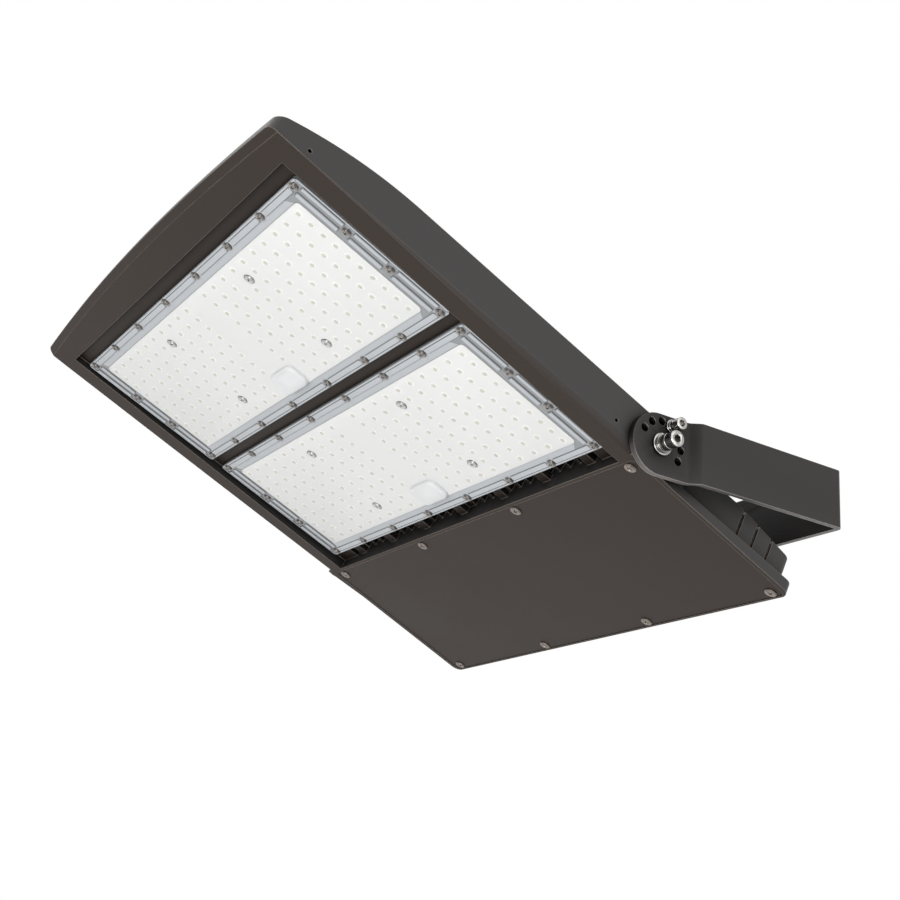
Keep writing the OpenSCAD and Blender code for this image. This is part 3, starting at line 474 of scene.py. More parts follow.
finish = {
    # housing: painted sheen on the sides, painted highlights on outer edges and painted shade in recesses
    "housing": coatedMetal("bronzePowderCoat", (0.017, 0.0112, 0.0078), (0.021, 0.0142, 0.0102), 0.50,
                           (0.25, 0.21, 0.18), 0.8, 0.001, 0.02, sideSheen=(0.031, 0.0295, 0.029)),
    # cover: painted highlights on outer edges and painted shade in recesses
    "cover": coatedMetal("coverPowderCoat", (0.015, 0.0096, 0.0068), (0.019, 0.0126, 0.0092), 0.46,
                         (0.26, 0.22, 0.20), 0.9, 0.0007, 0.01),
    # yoke: painted light on downward faces, bright painted edge highlights and deep painted shade in recesses
    "yoke": coatedMetal("yokePowderCoat", (0.018, 0.0155, 0.015), (0.022, 0.019, 0.0185), 0.46,
                        (0.66, 0.63, 0.60), 1.0, 0.0012, 0.22, litBelow=(0.095, 0.088, 0.084), falling=1.7),
    "steel": brightSteel("brightStainless", (0.56, 0.54, 0.52), 0.20),
    "screwSteel": brightSteel("screwStainless", (0.50, 0.48, 0.46), 0.24, falling=0.45),
    # painted reflection: a paler copy of the screws' steel, for the inner screws
    "innerSteelReflection": brightSteel("innerStainlessReflection", (0.86, 0.85, 0.84), 0.26, falling=0.2, depth=0.0016),
    "coverSteel": brightSteel("coverScrewSteel", (0.36, 0.31, 0.28), 0.26, falling=0.45),
    "rim": clearRim("clearRim", (0.40, 0.42, 0.44), (0.11, 0.115, 0.12), 0.12, 0.76),
    # painted shade: a darker copy of the rim's finish, for the level faces between the ridges on the short
    # sides
    "rimBaseShade": clearRim("clearRimBaseShade", (0.23, 0.24, 0.25), (0.10, 0.105, 0.11), 0.12, 0.76),
    "field": mouldedPlastic("clearField", (0.96, 0.96, 0.94), (0.98, 0.98, 0.97), 0.16, 0.46),
    "dome": mouldedPlastic("clearDome", (0.36, 0.35, 0.24), (0.48, 0.47, 0.36), 0.10, 0.5, specular=0.8),
    "domeSide": mouldedPlastic("clearDomeSide", (0.88, 0.88, 0.85), (0.92, 0.92, 0.90), 0.14, 0.16,
                               specular=0.6),
    # painted shade: the bump's clear plastic is greyer than the field's, to hold down its brightness
    "bump": mouldedPlastic("clearBumpShaded", (0.60, 0.605, 0.61), (0.64, 0.645, 0.65), 0.35, 0.7, specular=0.4),
    "board": mouldedPlastic("whiteSolderMask", (0.92, 0.92, 0.90), (0.95, 0.95, 0.93), 0.35),
    "phosphor": mouldedPlastic("phosphorResin", (0.46, 0.42, 0.16), (0.54, 0.50, 0.22), 0.30),
    "package": mouldedPlastic("chipPackage", (0.50, 0.50, 0.44), (0.58, 0.58, 0.52), 0.30),
    "rubber": mouldedPlastic("blackRubber", (0.018, 0.018, 0.018), (0.026, 0.026, 0.026), 0.62),
    "blackPlastic": mouldedPlastic("blackNylon", (0.022, 0.022, 0.023), (0.03, 0.03, 0.031), 0.42),
    "whitePlastic": mouldedPlastic("whiteNylon", (0.78, 0.78, 0.76), (0.84, 0.84, 0.82), 0.42),
    "pad": mouldedPlastic("greyPad", (0.30, 0.33, 0.35), (0.36, 0.39, 0.41), 0.70),
    "redLead": mouldedPlastic("redInsulation", (0.38, 0.03, 0.02), (0.46, 0.05, 0.03), 0.35),
    "greenLead": mouldedPlastic("greenInsulation", (0.03, 0.18, 0.05), (0.05, 0.24, 0.08), 0.35),
    "driverCase": brightSteel("driverCase", (0.58, 0.59, 0.60), 0.36),
}
print("materials ready")

# finish of every CAD node, also of those that a modelled piece replaces below
keptFinish = {
    "housing": "housing", "driver_cover": "cover", "yoke_bracket": "yoke", "cover_gasket": "rubber",
    "lens_gasket_front": "rubber", "lens_gasket_rear": "rubber",
    "led_board_front": "board", "led_board_rear": "board",
    "thermal_pad_front": "pad", "thermal_pad_rear": "pad",
    "board_connectors": "whitePlastic", "led_leads": "redLead", "supply_leads": "greenLead",
    "driver_left": "driverCase", "driver_right": "driverCase", "driver_screws": "steel",
    "surge_protector": "blackPlastic", "terminal_block": "whitePlastic",
    "gland_body": "blackPlastic", "gland_seal": "rubber", "gland_nut": "blackPlastic",
    "gland_insert": "rubber", "gland_locknut": "steel",
    "breather_vent": "blackPlastic", "friction_washers": "blackPlastic",
    "pivot_bolt_left": "steel", "pivot_bolt_right": "steel", "pivot_flat_washers": "steel",
    "pivot_spring_washers": "steel", "pivot_spacers": "steel",
    "lock_screw": "steel", "lock_flat_washer": "steel", "lock_spring_washer": "steel", "lock_spacer": "steel",
    "lens_front": "field", "lens_rear": "field", "leds_front": "phosphor", "leds_rear": "phosphor",
    "lens_screws_front": "screwSteel", "lens_screws_rear": "screwSteel", "cover_screws": "screwSteel",
}
for nodeName, finishName in keptFinish.items():
    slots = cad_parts[nodeName].data.materials
    if not len(slots):
        slots.append(finish[finishName])
    for index in range(len(slots)):
        slots[index] = finish[finishName]
print("CAD nodes finished")

# pan-head screws with a domed top and a cross recess, modelled once and copied
screwHead = {
    "lens": {"radius": 4.0, "height": 2.4, "bite": 1.3, "shank": 1.9},
    "cover": {"radius": 5.1, "height": 1.6, "bite": 0.9, "shank": 2.4},
}

# two points of the bezel's sloping plane, and the places of the cover screws in that plane
cover = {
    "startY": -10.5, "startZ": -17.6, "noseY": -385.0, "noseZ": -12.0,
    "screwX": (76.7, 230.1), "screwY": (-2.4, 161.9), "screwZ": 0.6,
}


def modelPanHead(name, size):
    # face down, seat at z = 0
    r, h = size["radius"], size["height"]
    piece = addDrum(name, r, -h * 0.45, 0.0, sides=24)
    pickFaces(piece, lambda c, n: n.z < -0.9)
    # steps of the dome, inwards as shares of the radius and outwards as shares of the height
    for width, rise in ((0.10, 0.24), (0.16, 0.20), (0.22, 0.11)):
        inset(r * width)
        push(z=-h * rise)
        bpy.ops.transform.resize(value=(0.97, 0.97, 1.0))
    endEdit()
    for turn in (45, 135):
        slot = addBox("recess", (-r * 0.52, -r * 0.10, -h * 1.2), (r * 0.52, r * 0.10, -h + size["bite"]))
        pickFaces(slot, lambda c, n: n.z > 0.9)
        bpy.ops.transform.resize(value=(0.72, 0.7, 1.0))
        endEdit()
        slot.rotation_euler = (0, 0, math.radians(turn))
        applyPlace(slot)
        cutBy(piece, slot)
    shank = addDrum("shank", size["shank"], -0.1, 3.0, sides=12)
    piece = joinAll(name, [piece, shank])
    smooth(piece, 40)
    return piece


def spreadScrews(name, model, places):
    # one joined object, each screw turned a little further than the last
    turns = [math.radians(17 * index % 90) for index in range(len(places))]
    copies = [copyTo(model, spot, (0, 0, turn)) for spot, turn in zip(places, turns)]
    for piece in copies:
        applyPlace(piece)
    return joinAll(name, copies)


def rimPlaces():
    # screws round the rim of a panel, from its centre
    spots = [(i * x, j * panel["screwY"]) for i in (-1, 1) for j in (-1, 1) for x in panel["screwX"]]
    return spots + [(i * panel["screwX"][3], j * panel["sideY"]) for i in (-1, 1) for j in (-1, 1)]


def innerPlaces():
    # screws inside the field of a panel, from its centre
    innerX, innerY = panel["innerScrew"]
    return [(i * innerX, j * innerY) for i in (-1, 1) for j in (-1, 1)]


lensScrew = modelPanHead("lensScrew", screwHead["lens"])
screwSteels = [finish["screwSteel"], finish["innerSteelReflection"]]
areaX, areaY = panel["innerArea"]
for where, centre in panel["centres"].items():
    places = [(x, centre + y, panel["face"]) for x, y in rimPlaces() + innerPlaces()]
    piece = spreadScrews("lensScrews" + where.title(), lensScrew, places)
    for steel in screwSteels:
        piece.data.materials.append(steel)
    # painted reflection: the inner screws stand over the bright field, so their steel is painted paler than
    # the rim's
    for face in piece.data.polygons:
        spot = face.center / mm
        face.material_index = int(abs(spot.x) < areaX and abs(spot.y - centre) < areaY)
    placeOnHead(piece)
    finishPiece(piece, "lamp_head", ("lens_screws_" + where,), screwSteels)
bpy.data.objects.remove(lensScrew, do_unlink=True)

coverScrew = modelPanHead("coverScrew", screwHead["cover"])
places = [(i * x, y - cover["startY"], cover["screwZ"])
          for i in (-1, 1) for x in cover["screwX"] for y in cover["screwY"]]
piece = spreadScrews("coverScrews", coverScrew, places)
slope = (cover["noseZ"] - cover["startZ"]) / (cover["startY"] - cover["noseY"])
piece.rotation_euler = (-math.atan(slope), 0, 0)
piece.location = Vector((0, cover["startY"], cover["startZ"])) * mm
applyPlace(piece)
placeOnHead(piece)
finishPiece(piece, "lamp_head", ("cover_screws",), [finish["coverSteel"]])
bpy.data.objects.remove(coverScrew, do_unlink=True)
print("pan-head screws made")


# light points: a small package with a phosphor window, modelled once and copied
def modelChip():
    size = chips["size"]
    piece = addBox("chip", (-size / 2, -size / 2, -chips["height"]), (size / 2, size / 2, 0))
    pickFaces(piece, lambda c, n: n.z < -0.9)
    inset(chips["frame"])
    push(z=chips["sink"])
    endEdit()
    piece.data.materials.append(finish["package"])
    piece.data.materials.append(finish["phosphor"])
    for face in piece.data.polygons:
        central = face.center.xy.length < 0.1 * mm
        face.material_index = int(face.normal.z < -0.9 and central)
    return piece


def chipPlaces(centre):
    # rows and columns in two halves, left out round the inner screws and under the bump
    innerX, innerY = panel["innerScrew"]
    clearX, clearY = chips["screwClear"]
    sideways, lengthways = chips["bumpClear"]
    spots = []
    for side in (-1, 1):
        for col in range(1, chips["cols"] + 1):
            for row in range(chips["rows"]):
                x = side * col * chips["pitchX"]
                y = (row - (chips["rows"] - 1) / 2) * chips["pitchY"]
                onScrew = abs(abs(x) - innerX) < clearX and abs(abs(y) - innerY) < clearY
                underBump = (abs(x) < bump["width"] / 2 + sideways
                             and y > bump["y"] - bump["length"] / 2 - lengthways)
                if not (onScrew or underBump):
                    spots.append((x, centre + y, chips["seat"]))
    return spots


chipModel = modelChip()
for where, centre in panel["centres"].items():
    copies = [copyTo(chipModel, spot) for spot in chipPlaces(centre)]
    points = joinAll("lightPoints" + where.title(), copies)
    applyPlace(points)
    placeOnHead(points)
    finishPiece(points, "lamp_head", ("leds_" + where,),
                [finish["package"], finish["phosphor"]])
bpy.data.objects.remove(chipModel, do_unlink=True)
print("light points made")

# ridges on the rim of a lens sheet: their two sides from the row of screws, gap to each screw, rise
ridges = {
    "sideLines": ((-7.4, -2.0), (2.0, 6.6)), "sideGap": 4.8, "sideRise": 1.3,
    "longLine": (-3.4, 2.2), "longGap": 4.6, "longRise": 0.9,
}
# moulded dome over each light point: a cone with a small cap
domeSize = {"foot": 4.0, "shoulder": 2.1, "rise": 0.7, "cap": 0.25}


# lens sheets: hollow moulded sheet with lip, ridged rim, raised field, cups and a plain bump
def roundedBox(name, low, high, radius, segments=5):
    piece = addBox(name, low, high)
    pickEdges(piece, lambda a, b: abs(a.z - b.z) > 0.01 and abs(a.x - b.x) < 0.01 and abs(a.y - b.y) < 0.01)
    bpy.ops.mesh.bevel(offset=radius * mm, segments=segments, profile=0.5)
    endEdit()
    return piece


def bevelBelow(piece, level, width, segments):
    # rounds the edges of the lowest face
    pickEdges(piece, lambda a, b: a.z < level and b.z < level)
    bpy.ops.mesh.bevel(offset=width * mm, segments=segments, profile=0.5)
    endEdit()


def modelRidge(low, high, rise):
    # long soft ridge standing on the rim face, between two corners in x and y
    face = panel["face"]
    span = min(high[0] - low[0], high[1] - low[1])
    piece = roundedBox("ridge", (*low, face - rise), (*high, face + 0.6), span * 0.3)
    bevelBelow(piece, face - rise + 0.01, min(rise * 0.92, span * 0.4), 4)
    return piece


def modelRidges():
    # between neighbouring screws, two lines on each short side and one on each long side
    screwX, screwY, sideY = panel["screwX"][3], panel["screwY"], panel["sideY"]
    pieces = []
    gap = ridges["sideGap"]
    for side in (-1, 1):
        for near, far in ridges["sideLines"]:
            x0, x1 = sorted((side * (screwX + near), side * (screwX + far)))
            for a, b in ((-screwY, -sideY), (-sideY, sideY), (sideY, screwY)):
                pieces.append(modelRidge((x0, a + gap), (x1, b - gap), ridges["sideRise"]))
    near, far = ridges["longLine"]
    gap = ridges["longGap"]
    row = sorted(side * x for side in (-1, 1) for x in panel["screwX"])
    for side in (-1, 1):
        y0, y1 = sorted((side * (screwY + near), side * (screwY + far)))
        for a, b in zip(row[:-1], row[1:]):
            pieces.append(modelRidge((a + gap, y0), (b - gap, y1), ridges["longRise"]))
    return pieces


def modelBump(low):
    # over the wire connector, standing on the field
    halfX, halfY = bump["width"] / 2, bump["length"] / 2
    piece = roundedBox("bump", (bump["x"] - halfX, bump["y"] - halfY, low - bump["height"]),
                       (bump["x"] + halfX, bump["y"] + halfY, low + 0.6), bump["corner"], 6)
    bevelBelow(piece, low - bump["height"] + 0.01, bump["edge"], 4)
    return piece


def modelHollow(low, top):
    # room over the board and under the bump, with the bosses of the inner screws left standing
    halfX, halfY = panel["hollowHalf"]
    roof = panel["hollowRoof"]
    hollow = roundedBox("hollow", (-halfX, -halfY, roof), (halfX, halfY, top + 1), 2.0, 3)
    for spot in innerPlaces():
        cutBy(hollow, addDrum("boss", panel["bossRadius"], roof - 1, top - 2, spot, 24))
    roomX, roomY = bump["roomHalf"]
    pocket = addBox("pocket", (bump["x"] - roomX, bump["y"] - roomY, low - bump["height"] + bump["wall"]),
                    (bump["x"] + roomX, bump["y"] + roomY, top - 1))
    cutBy(hollow, pocket, "UNION")
    return hollow


def modelLens():
    halfX, halfY = panel["width"] / 2, panel["length"] / 2
    face, top = panel["face"], panel["face"] + panel["thick"]
    low = face - panel["fieldRise"]
    sheet = roundedBox("lens", (-halfX, -halfY, face), (halfX, halfY, top), panel["corner"])
    # outer lip, between two insets of the face
    edge = panel["lipEdge"]
    lip = edge + panel["lipWidth"]
    pickFaces(sheet, lambda c, n: n.z < -0.9)
    inset(edge)
    inset(panel["lipWidth"])
    push(z=-0.01)
    endEdit()
    pickFaces(sheet, lambda c, n: n.z < -0.9 and (abs(c.x) > halfX - lip or abs(c.y) > halfY - lip)
              and abs(c.x) < halfX - edge and abs(c.y) < halfY - edge)
    push(z=-panel["lipRise"])
    endEdit()
    fieldX, fieldY = panel["fieldHalf"]
    field = roundedBox("field", (-fieldX, -fieldY, low), (fieldX, fieldY, face + 0.5), 4.0)
    bevelBelow(field, face - 1.0, 0.8, 3)
    for part in (field, *modelRidges(), modelBump(low)):
        cutBy(sheet, part, "UNION")
    cutBy(sheet, modelHollow(low, top))
    # cups for the inner screws, then the bores
    for spot in innerPlaces():
        cutBy(sheet, addDrum("cup", panel["cupRadius"], face - 3, face, spot, 24))
        cutBy(sheet, addDrum("bore", panel["boreRadius"], face - 3, top + 1, spot, 12))
    for spot in rimPlaces():
        cutBy(sheet, addDrum("bore", panel["boreRadius"], face - 3, top + 1, spot, 12))
    return sheet


def modelDome():
    low = panel["face"] - panel["fieldRise"]
    dome = addDrum("dome", domeSize["shoulder"], low - domeSize["rise"], low + 0.2, sides=12,
                   topRadius=domeSize["foot"])
    pickFaces(dome, lambda c, n: n.z < -0.9)
    push(z=-domeSize["cap"])
    bpy.ops.transform.resize(value=(0.5, 0.5, 1.0))
    endEdit()
    return dome


lensFinish = ("rim", "field", "dome", "rimBaseShade", "bump", "domeSide")


def lensPart(spot, isDome):
    # which finish of the lens sheet a face has, by its middle in millimetres
    face = panel["face"]
    low = face - panel["fieldRise"]
    fieldX, fieldY = panel["fieldHalf"]
    halfX, halfY = bump["width"] / 2 + 1, bump["length"] / 2 + 1
    if isDome:
        return "dome" if spot.z < low - domeSize["rise"] - 0.02 else "domeSide"
    # the bump's faces take the greyer, painted-shade copy of the field's finish
    if spot.z < low - 0.05 and abs(spot.x - bump["x"]) < halfX and abs(spot.y - bump["y"]) < halfY:
        return "bump"
    if abs(spot.x) < fieldX and abs(spot.y) < fieldY and spot.z < face - 0.3:
        return "field"
    # painted shade: the level faces between the ridges of the short sides take the darker copy of the rim's
    # finish
    if abs(spot.x) > fieldX + 0.4 and abs(spot.y) < panel["screwY"] - 2 and abs(spot.z - face) < 0.05:
        return "rimBaseShade"
    return "rim"


lensModel = modelLens()
cleanNormals(lensModel)
domeModel = modelDome()
domes = joinAll("domes", [copyTo(domeModel, (x, y, 0)) for x, y, z in chipPlaces(0.0)])
applyPlace(domes)
bpy.data.objects.remove(domeModel, do_unlink=True)
domeFaces = len(domes.data.polygons)
lensModel = joinAll("lens", [lensModel, domes])
smooth(lensModel, 30)
for part in lensFinish:
    lensModel.data.materials.append(finish[part])
firstDome = len(lensModel.data.polygons) - domeFaces
for face in lensModel.data.polygons:
    face.material_index = lensFinish.index(lensPart(face.center / mm, face.index >= firstDome))
for where, centre in panel["centres"].items():
    lens = copyTo(lensModel, (0, centre, 0))
    lens.name = lens.data.name = "lensSheet" + where.title()
    applyPlace(lens)
    placeOnHead(lens)
    finishPiece(lens, "lamp_head", ("lens_" + where,),
                [finish[part] for part in lensFinish])
bpy.data.objects.remove(lensModel, do_unlink=True)
print("lens sheets made")


# fastener stacks along X, modelled on the right side: start, thickness and radius of each piece;
# a shank has its tip and radius, and a key its radius
stack = {
    "pivot": {"washer": (255.4, 1.8, 9.0), "spring": (257.2, 2.2, 7.3), "spacer": (259.4, 6.5, 6.6),
              "head": (265.9, 8.0, 6.5), "shank": (230.3, 4.0), "key": 3.4},
    "lock": {"washer": (255.6, 1.6, 6.0), "spring": (257.2, 1.6, 5.1), "spacer": (258.8, 3.0, 4.7),
             "head": (261.8, 6.0, 5.0), "shank": (243.4, 3.0), "key": 2.8},
}


def modelRing(name, spec, bore, edge):
    start, thick, radius = spec
    piece = addDrum(name, radius, start, start + thick, sides=64, axis="X")
    cutBy(piece, addDrum("bore", bore, start - 1, start + thick + 1, sides=48, axis="X"))
    bevelBy(piece, edge, 3)
    smooth(piece)
    return piece


def modelSpring(name, spec, bore):
    piece = modelRing(name, spec, bore, 0.25)
    start, thick, radius = spec
    slit = addBox("slit", (-thick - 1, -0.6, 0), (thick + 1, 0.6, radius + 1))
    slit.rotation_euler = (0, 0, math.radians(14))
    slit.location.x = (start + thick / 2) * mm
    applyPlace(slit)
    cutBy(piece, slit)
    smooth(piece)
    return piece


def modelSocketHead(name, kind):
    spec = stack[kind]
    seat, height, radius = spec["head"]
    tip, shankRadius = spec["shank"]
    sides = 56
    head = addDrum(name, radius, seat, seat + height, sides=sides, axis="X")
    # straight knurl on the side, clear of both ends
    pickFaces(head, lambda c, n: abs(n.x) < 0.2)
    bpy.ops.mesh.inset(thickness=0.55 * mm, use_individual=False)
    endEdit()
    pickFaces(head, lambda c, n: abs(c.x - seat - height / 2) < height * 0.1
              and int(math.degrees(math.atan2(c.z, c.y)) % 360 / (360 / sides)) % 2 == 0)
    bpy.ops.mesh.inset(thickness=0.08 * mm, depth=-0.22 * mm, use_individual=True)
    endEdit()
    # rounded outer rim and hex recess with a conical mouth
    key, end = spec["key"], seat + height
    pickEdges(head, lambda a, b: a.x > end - 0.01 and b.x > end - 0.01)
    bpy.ops.mesh.bevel(offset=0.5 * mm, segments=3, profile=0.5)
    endEdit()
    cutBy(head, addDrum("key", key, seat + height * 0.45, end + 1, sides=6, axis="X"))
    cutBy(head, addDrum("mouth", key * 0.80, end - 0.45, end + 0.3, sides=48, axis="X", topRadius=key * 1.22))
    shank = addDrum("shank", shankRadius, tip, seat + 0.2, sides=32, axis="X")
    piece = joinAll(name, [head, shank])
    smooth(piece, 30)
    return piece


def standOnAxis(piece, side, kind):
    # mirrored copies turn half a round about Z
    if side < 0:
        piece.rotation_euler = (0, 0, math.pi)
        applyPlace(piece)
    if kind == "lock":
        y, z = ringSpot(ring["middle"])
        piece.location = Vector((0, y, z)) * mm
        applyPlace(piece)
    else:
        placeOnHead(piece)


for kind, sides in (("pivot", (1, -1)), ("lock", (1,))):
    spec = stack[kind]
    bore = spec["shank"][1] + 0.1
    body = "lamp_head" if kind == "pivot" else "lock"
    parts = {
        "FlatWasher": (modelRing("flatWasher", spec["washer"], bore, 0.35), "flat_washer"),
        "SpringWasher": (modelSpring("springWasher", spec["spring"], bore), "spring_washer"),
        "Spacer": (modelRing("spacer", spec["spacer"], bore, 0.5), "spacer"),
    }
    for label, (model, node) in parts.items():
        copies = []
        for side in sides:
            piece = copyTo(model, (0, 0, 0))
            standOnAxis(piece, side, kind)
            copies.append(piece)
        piece = joinAll(kind + label, copies)
        node = kind + "_" + node + ("s" if kind == "pivot" else "")
        finishPiece(piece, body, (node,), [finish["steel"]])
        bpy.data.objects.remove(model, do_unlink=True)
    screw = modelSocketHead("socketScrew", kind)
    for side in sides:
        piece = copyTo(screw, (0, 0, 0))
        name, node = "lockScrew", "lock_screw"
        if kind == "pivot":
            word = "right" if side > 0 else "left"
            name, node = "pivotScrew" + word.title(), "pivot_bolt_" + word
        piece.name = piece.data.name = name
        standOnAxis(piece, side, kind)
        finishPiece(piece, body, (node,), [finish["steel"]])
    bpy.data.objects.remove(screw, do_unlink=True)
print("fastener stacks made")

# cable gland and breather vent on the roof of the driver box
gland = {
    "y": 70.0, "hexRadius": 13.8, "hexLow": 22.3, "hexHigh": 28.3, "stubRadius": 10.0, "stubLow": 9.8,
    "bore": 5.0, "cup": 7.5, "thread": 9.4, "threadHigh": 34.3,
    "nutLow": 28.6, "nutHigh": 43.6, "nutHex": 9.0, "domeRadius": 11.6,
    "room": 9.5, "throat": 7.6, "mouth": 5.6,
    "insertRadius": 7.45, "insertBore": 4.5, "insertHigh": 37.3,
}
vent = {"y": 16.0, "radius": 9.0, "stub": 6.0, "low": 20.8, "stubLow": 12.8, "high": 26.3, "flutes": 16}


def modelGlandBody():
    spot = (0, gland["y"])
    low, high = gland["hexLow"], gland["hexHigh"]
    body = addDrum("glandBody", gland["hexRadius"], low, high, spot, 6)
    bevelBy(body, 0.8, 3)
    cutBy(body, addDrum("stub", gland["stubRadius"], gland["stubLow"], low + 1, spot, 48), "UNION")
    cutBy(body, addDrum("thread", gland["thread"], high - 1, gland["threadHigh"], spot, 48), "UNION")
    cutBy(body, addDrum("cup", gland["cup"], high, high + 20, spot, 48))
    cutBy(body, addDrum("bore", gland["bore"], 0, high + 2, spot, 32))
    return body


def modelGlandNut():
    spot = (0, gland["y"])
    low = gland["nutLow"]
    end = low + gland["nutHex"]
    nut = addDrum("glandNut", gland["hexRadius"], low, end, spot, 6)
    bevelBy(nut, 0.9, 3)
    dome = addDrum("dome", gland["domeRadius"], end - 0.5, end + 2.5, spot, 48)
    pickFaces(dome, lambda c, n: n.z > 0.9)
    for shrink, rise in ((0.95, 1.2), (0.90, 1.2), (0.84, 1.1)):
        push(z=rise)
        bpy.ops.transform.resize(value=(shrink, shrink, 1.0))
    endEdit()
    cutBy(nut, dome, "UNION")
    cutBy(nut, addDrum("room", gland["room"], low - 1, low + 6.5, spot, 48))
    cutBy(nut, addDrum("throat", gland["throat"], low + 6, end, spot, 48))
    cutBy(nut, addDrum("mouth", gland["mouth"], low + 6, gland["nutHigh"] + 2, spot, 32))
    return nut


def modelGlandInsert():
    spot = (0, gland["y"])
    low, high = gland["hexHigh"], gland["insertHigh"]
    insert = addDrum("glandInsert", gland["insertRadius"], low, high, spot, 48)
    cutBy(insert, addDrum("bore", gland["insertBore"], low - 1, high + 1, spot, 32))
    bevelBy(insert, 0.4, 2)
    return insert


def modelVent():
    spot = (0, vent["y"])
    low, radius = vent["low"], vent["radius"]
    cap = addDrum("breatherVent", radius, low, low + 4, spot, 48)
    for index in range(vent["flutes"]):
        turn = math.radians(360 / vent["flutes"] * index)
        place = (radius * math.cos(turn), vent["y"] + radius * math.sin(turn))
        cutBy(cap, addDrum("flute", 0.7, low + 0.8, low + 3.2, place, 12))
    cutBy(cap, addDrum("top", radius, low + 3.9, vent["high"], spot, 48, topRadius=radius - 2), "UNION")
    cutBy(cap, addDrum("stub", vent["stub"], vent["stubLow"], low + 1, spot, 32), "UNION")
    bevelBy(cap, 0.3, 2)
    return cap


for model, slot, node, name in ((modelGlandBody, "black_plastic", "gland_body", "blackPlastic"),
                                (modelGlandNut, "black_plastic", "gland_nut", "blackPlastic"),
                                (modelGlandInsert, "black_rubber", "gland_insert", "rubber"),
                                (modelVent, "black_plastic", "breather_vent", "blackPlastic")):
    piece = model()
    smooth(piece, 32)
    placeOnHead(piece)
    finishPiece(piece, "lamp_head", (node,), [finish[name]])
print("gland and vent made")

# yoke bar in millimetres, in the wall frame
bar = {
    "height": 50.0, "thick": 5.0, "earIn": 250.3, "joggle": 6.7, "stepStart": 25.0, "stepLength": 13.0,
    "bend": 6.5, "earLead": 2.7, "farEar": 12.5, "pivotHole": 4.06, "wallHole": 5.5, "wallPitch": 100.0,
}


def pushStep(way):
    # sideways step between ear and arm, towards +X on both arms, while the end moves along Y
    steps = 12
    shift = 0.0
    for index in range(1, steps + 1):
        goal = bar["joggle"] * (1 - math.cos(math.pi * index / steps)) / 2
        push(x=goal - shift, y=way * bar["stepLength"] / steps)
        shift = goal


def spinBend(side):
    # quarter bend between an arm and the cross-piece
    across = bar["earIn"] + bar["thick"] + bar["joggle"] - bar["bend"]
    centre = (side * across * mm, -bar["bend"] * mm, 0)
    bpy.ops.mesh.spin(steps=10, angle=-math.pi / 2, center=centre, axis=(0, 0, 1))


def modelYoke():
    half, thick, reach = bar["height"] / 2, bar["thick"], headPose["reach"]
    earOut = bar["earIn"] + thick
    armOut = earOut + bar["joggle"]
    front = -reach - bar["earLead"] - half
    stepEnd = bar["stepStart"] + bar["stepLength"]
    # the cutters for one ear end here, well short of the other
    inner = 100.0
    # the end of the near ear, pushed along the arm, round the bends and back to the far ear
    piece = addBox("yokeBar", (bar["earIn"], front, -half), (earOut, -reach + bar["stepStart"], half))
    pickFaces(piece, lambda c, n: n.y > 0.9)
    pushStep(1)
    push(y=reach - stepEnd - bar["bend"])
    spinBend(1)
    push(x=-2 * (armOut - bar["bend"]))
    spinBend(-1)
    push(y=-(reach - stepEnd - bar["bend"]))
    pushStep(-1)
    push(y=-(bar["stepStart"] + bar["earLead"] + half))
    endEdit()
    cleanNormals(piece)
    # round end of the near ear
    keep = addBox("keep", (-armOut - 1, -reach - bar["earLead"], -half - 1), (armOut + 1, 1, half + 1))
    cutBy(keep, addDrum("round", half, 0.0, armOut + 1, (-reach - bar["earLead"], 0), 96, "X"), "UNION")
    # small far ear with a straight taper
    away = addBox("away", (-armOut - 2, -reach - half - 10, -half - 2), (-inner, -reach + stepEnd, half + 2))
    turn = math.atan2(half, stepEnd) - math.asin(bar["farEar"] / math.hypot(stepEnd, half)) + math.pi / 2
    touchY, touchZ = bar["farEar"] * math.cos(turn), bar["farEar"] * math.sin(turn)
    wedge = addBox("wedge", (-armOut - 2, touchY - reach, -half), (-inner - 1, -reach + stepEnd + 0.01, half))
    pickFaces(wedge, lambda c, n: n.y < -0.9)
    bpy.ops.transform.resize(value=(1.0, 1.0, touchZ / half))
    endEdit()
    cutBy(wedge, addDrum("round", bar["farEar"], -armOut - 2, -inner - 1, (-reach, 0), 64, "X"), "UNION")
    cutBy(away, wedge)
    cutBy(piece, keep, "INTERSECT")
    cutBy(piece, away)
    cutBy(piece, addDrum("bore", bar["pivotHole"], -armOut - 1, armOut + 1, (-reach, 0), 48, "X"))
    for index in range(ring["count"]):
        spot = ringSpot(ring["middle"] + ring["step"] * (index - ring["count"] // 2))
        cutBy(piece, addDrum("ring", ring["holeRadius"], inner, armOut + 1, spot, 32, "X"))
    for index in (-1, 0, 1):
        cutBy(piece, addDrum("wall", bar["wallHole"], -thick - 1, 1, (index * bar["wallPitch"], 0), 40, "Y"))
    bevelBy(piece, 0.6, 3, 40)
    smooth(piece, 32)
    return piece


yoke = modelYoke()
finishPiece(yoke, "yoke", ("yoke_bracket",), [finish["yoke"]])
print("yoke made")


# camera solved from the screw rows
view = {
    "place": (1.0124, -0.8365, -0.3790), "right": (0.53914, 0.83871, 0.07679),
    "up": (0.25191, -0.24759, 0.93555), "ahead": (-0.80366, 0.48505, 0.34475), "lens": 54.98,
}


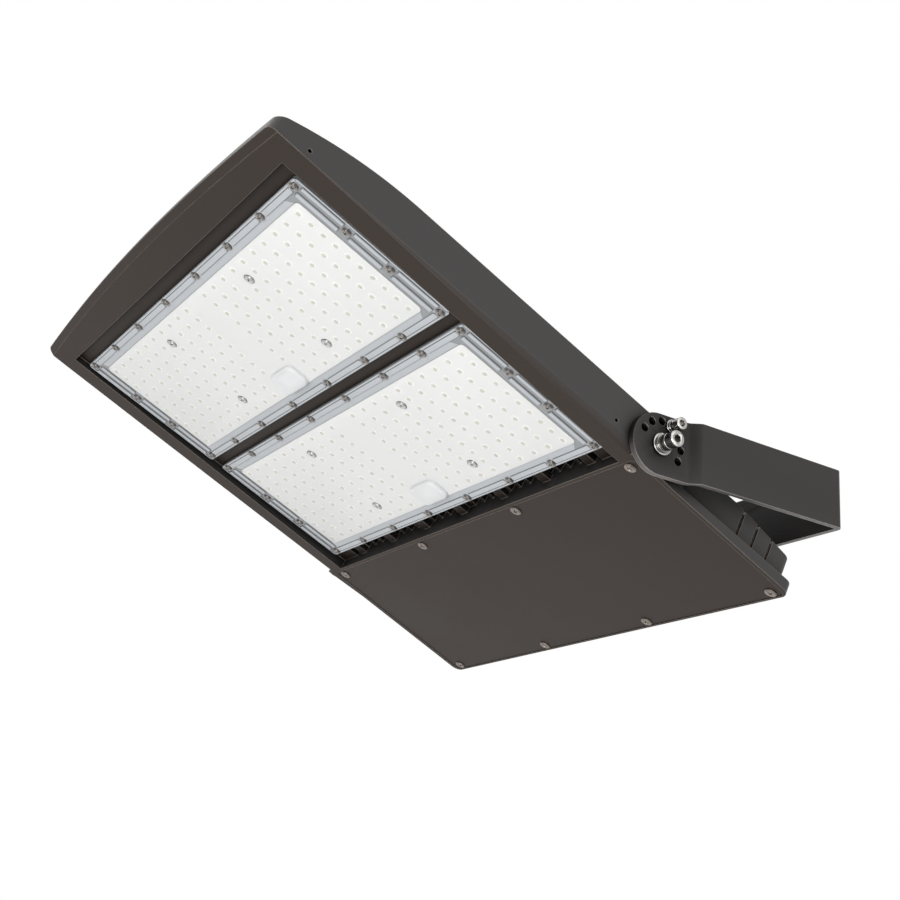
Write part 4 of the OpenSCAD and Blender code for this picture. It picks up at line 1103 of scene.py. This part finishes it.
def buildCamera():
    camera = bpy.data.objects.new("camera", bpy.data.cameras.new("camera"))
    bpy.context.scene.collection.objects.link(camera)
    camera.data.lens = view["lens"]
    camera.data.sensor_width = 36.0
    camera.data.clip_start = 0.01
    right, up, ahead = (Vector(view[k]).normalized() for k in ("right", "up", "ahead"))
    turn = Matrix((right, up, -ahead)).transposed()
    camera.matrix_world = Matrix.Translation(view["place"]) @ turn.to_4x4()
    bpy.context.scene.camera = camera


def addSoftbox(name, place, aim, size, power):
    light = bpy.data.objects.new(name, bpy.data.lights.new(name, "AREA"))
    bpy.context.scene.collection.objects.link(light)
    light.data.shape = "RECTANGLE"
    light.data.size, light.data.size_y = size
    light.data.energy = power
    light.location = place
    light.rotation_euler = (Vector(aim) - Vector(place)).to_track_quat("-Z", "Y").to_euler()


def buildWorld():
    # even light all round; the camera, reflections and clear pieces see plain white
    world = bpy.data.worlds.new("studio")
    world.use_nodes = True
    bpy.context.scene.world = world
    tree = world.node_tree
    background = tree.nodes["Background"]
    background.inputs["Color"].default_value = (0.98, 0.98, 0.98, 1)
    white = tree.nodes.new("ShaderNodeBackground")
    white.inputs["Color"].default_value = (1, 1, 1, 1)
    path = tree.nodes.new("ShaderNodeLightPath")
    seen = math2(tree, "MAXIMUM", path.outputs["Is Camera Ray"], path.outputs["Is Glossy Ray"])
    seen = math2(tree, "MAXIMUM", seen, path.outputs["Is Transmission Ray"])
    mix = tree.nodes.new("ShaderNodeMixShader")
    tree.links.new(seen, mix.inputs[0])
    tree.links.new(background.outputs[0], mix.inputs[1])
    tree.links.new(white.outputs[0], mix.inputs[2])
    tree.links.new(mix.outputs[0], tree.nodes["World Output"].inputs["Surface"])


def buildStudio():
    deselectAll()
    bpy.ops.mesh.primitive_plane_add(size=14, location=(0, -0.2, -1.6))
    floor = takeNew("studioFloor")
    floor.data.materials.append(newMaterial("paleFloor", (0.86, 0.86, 0.86), 0.7)[0])
    addSoftbox("keyBox", (1.3, -1.9, -0.9), (0, -0.25, -0.05), (1.6, 1.2), 46)
    addSoftbox("sideBox", (2.2, 0.4, 0.5), (0, -0.2, 0), (1.4, 1.4), 9)
    addSoftbox("topBox", (-0.4, -0.6, 2.0), (0, -0.2, 0), (2.0, 2.0), 26)


buildCamera()
buildWorld()
buildStudio()
bpy.context.scene.view_settings.view_transform = "Standard"
print("camera and lights ready")
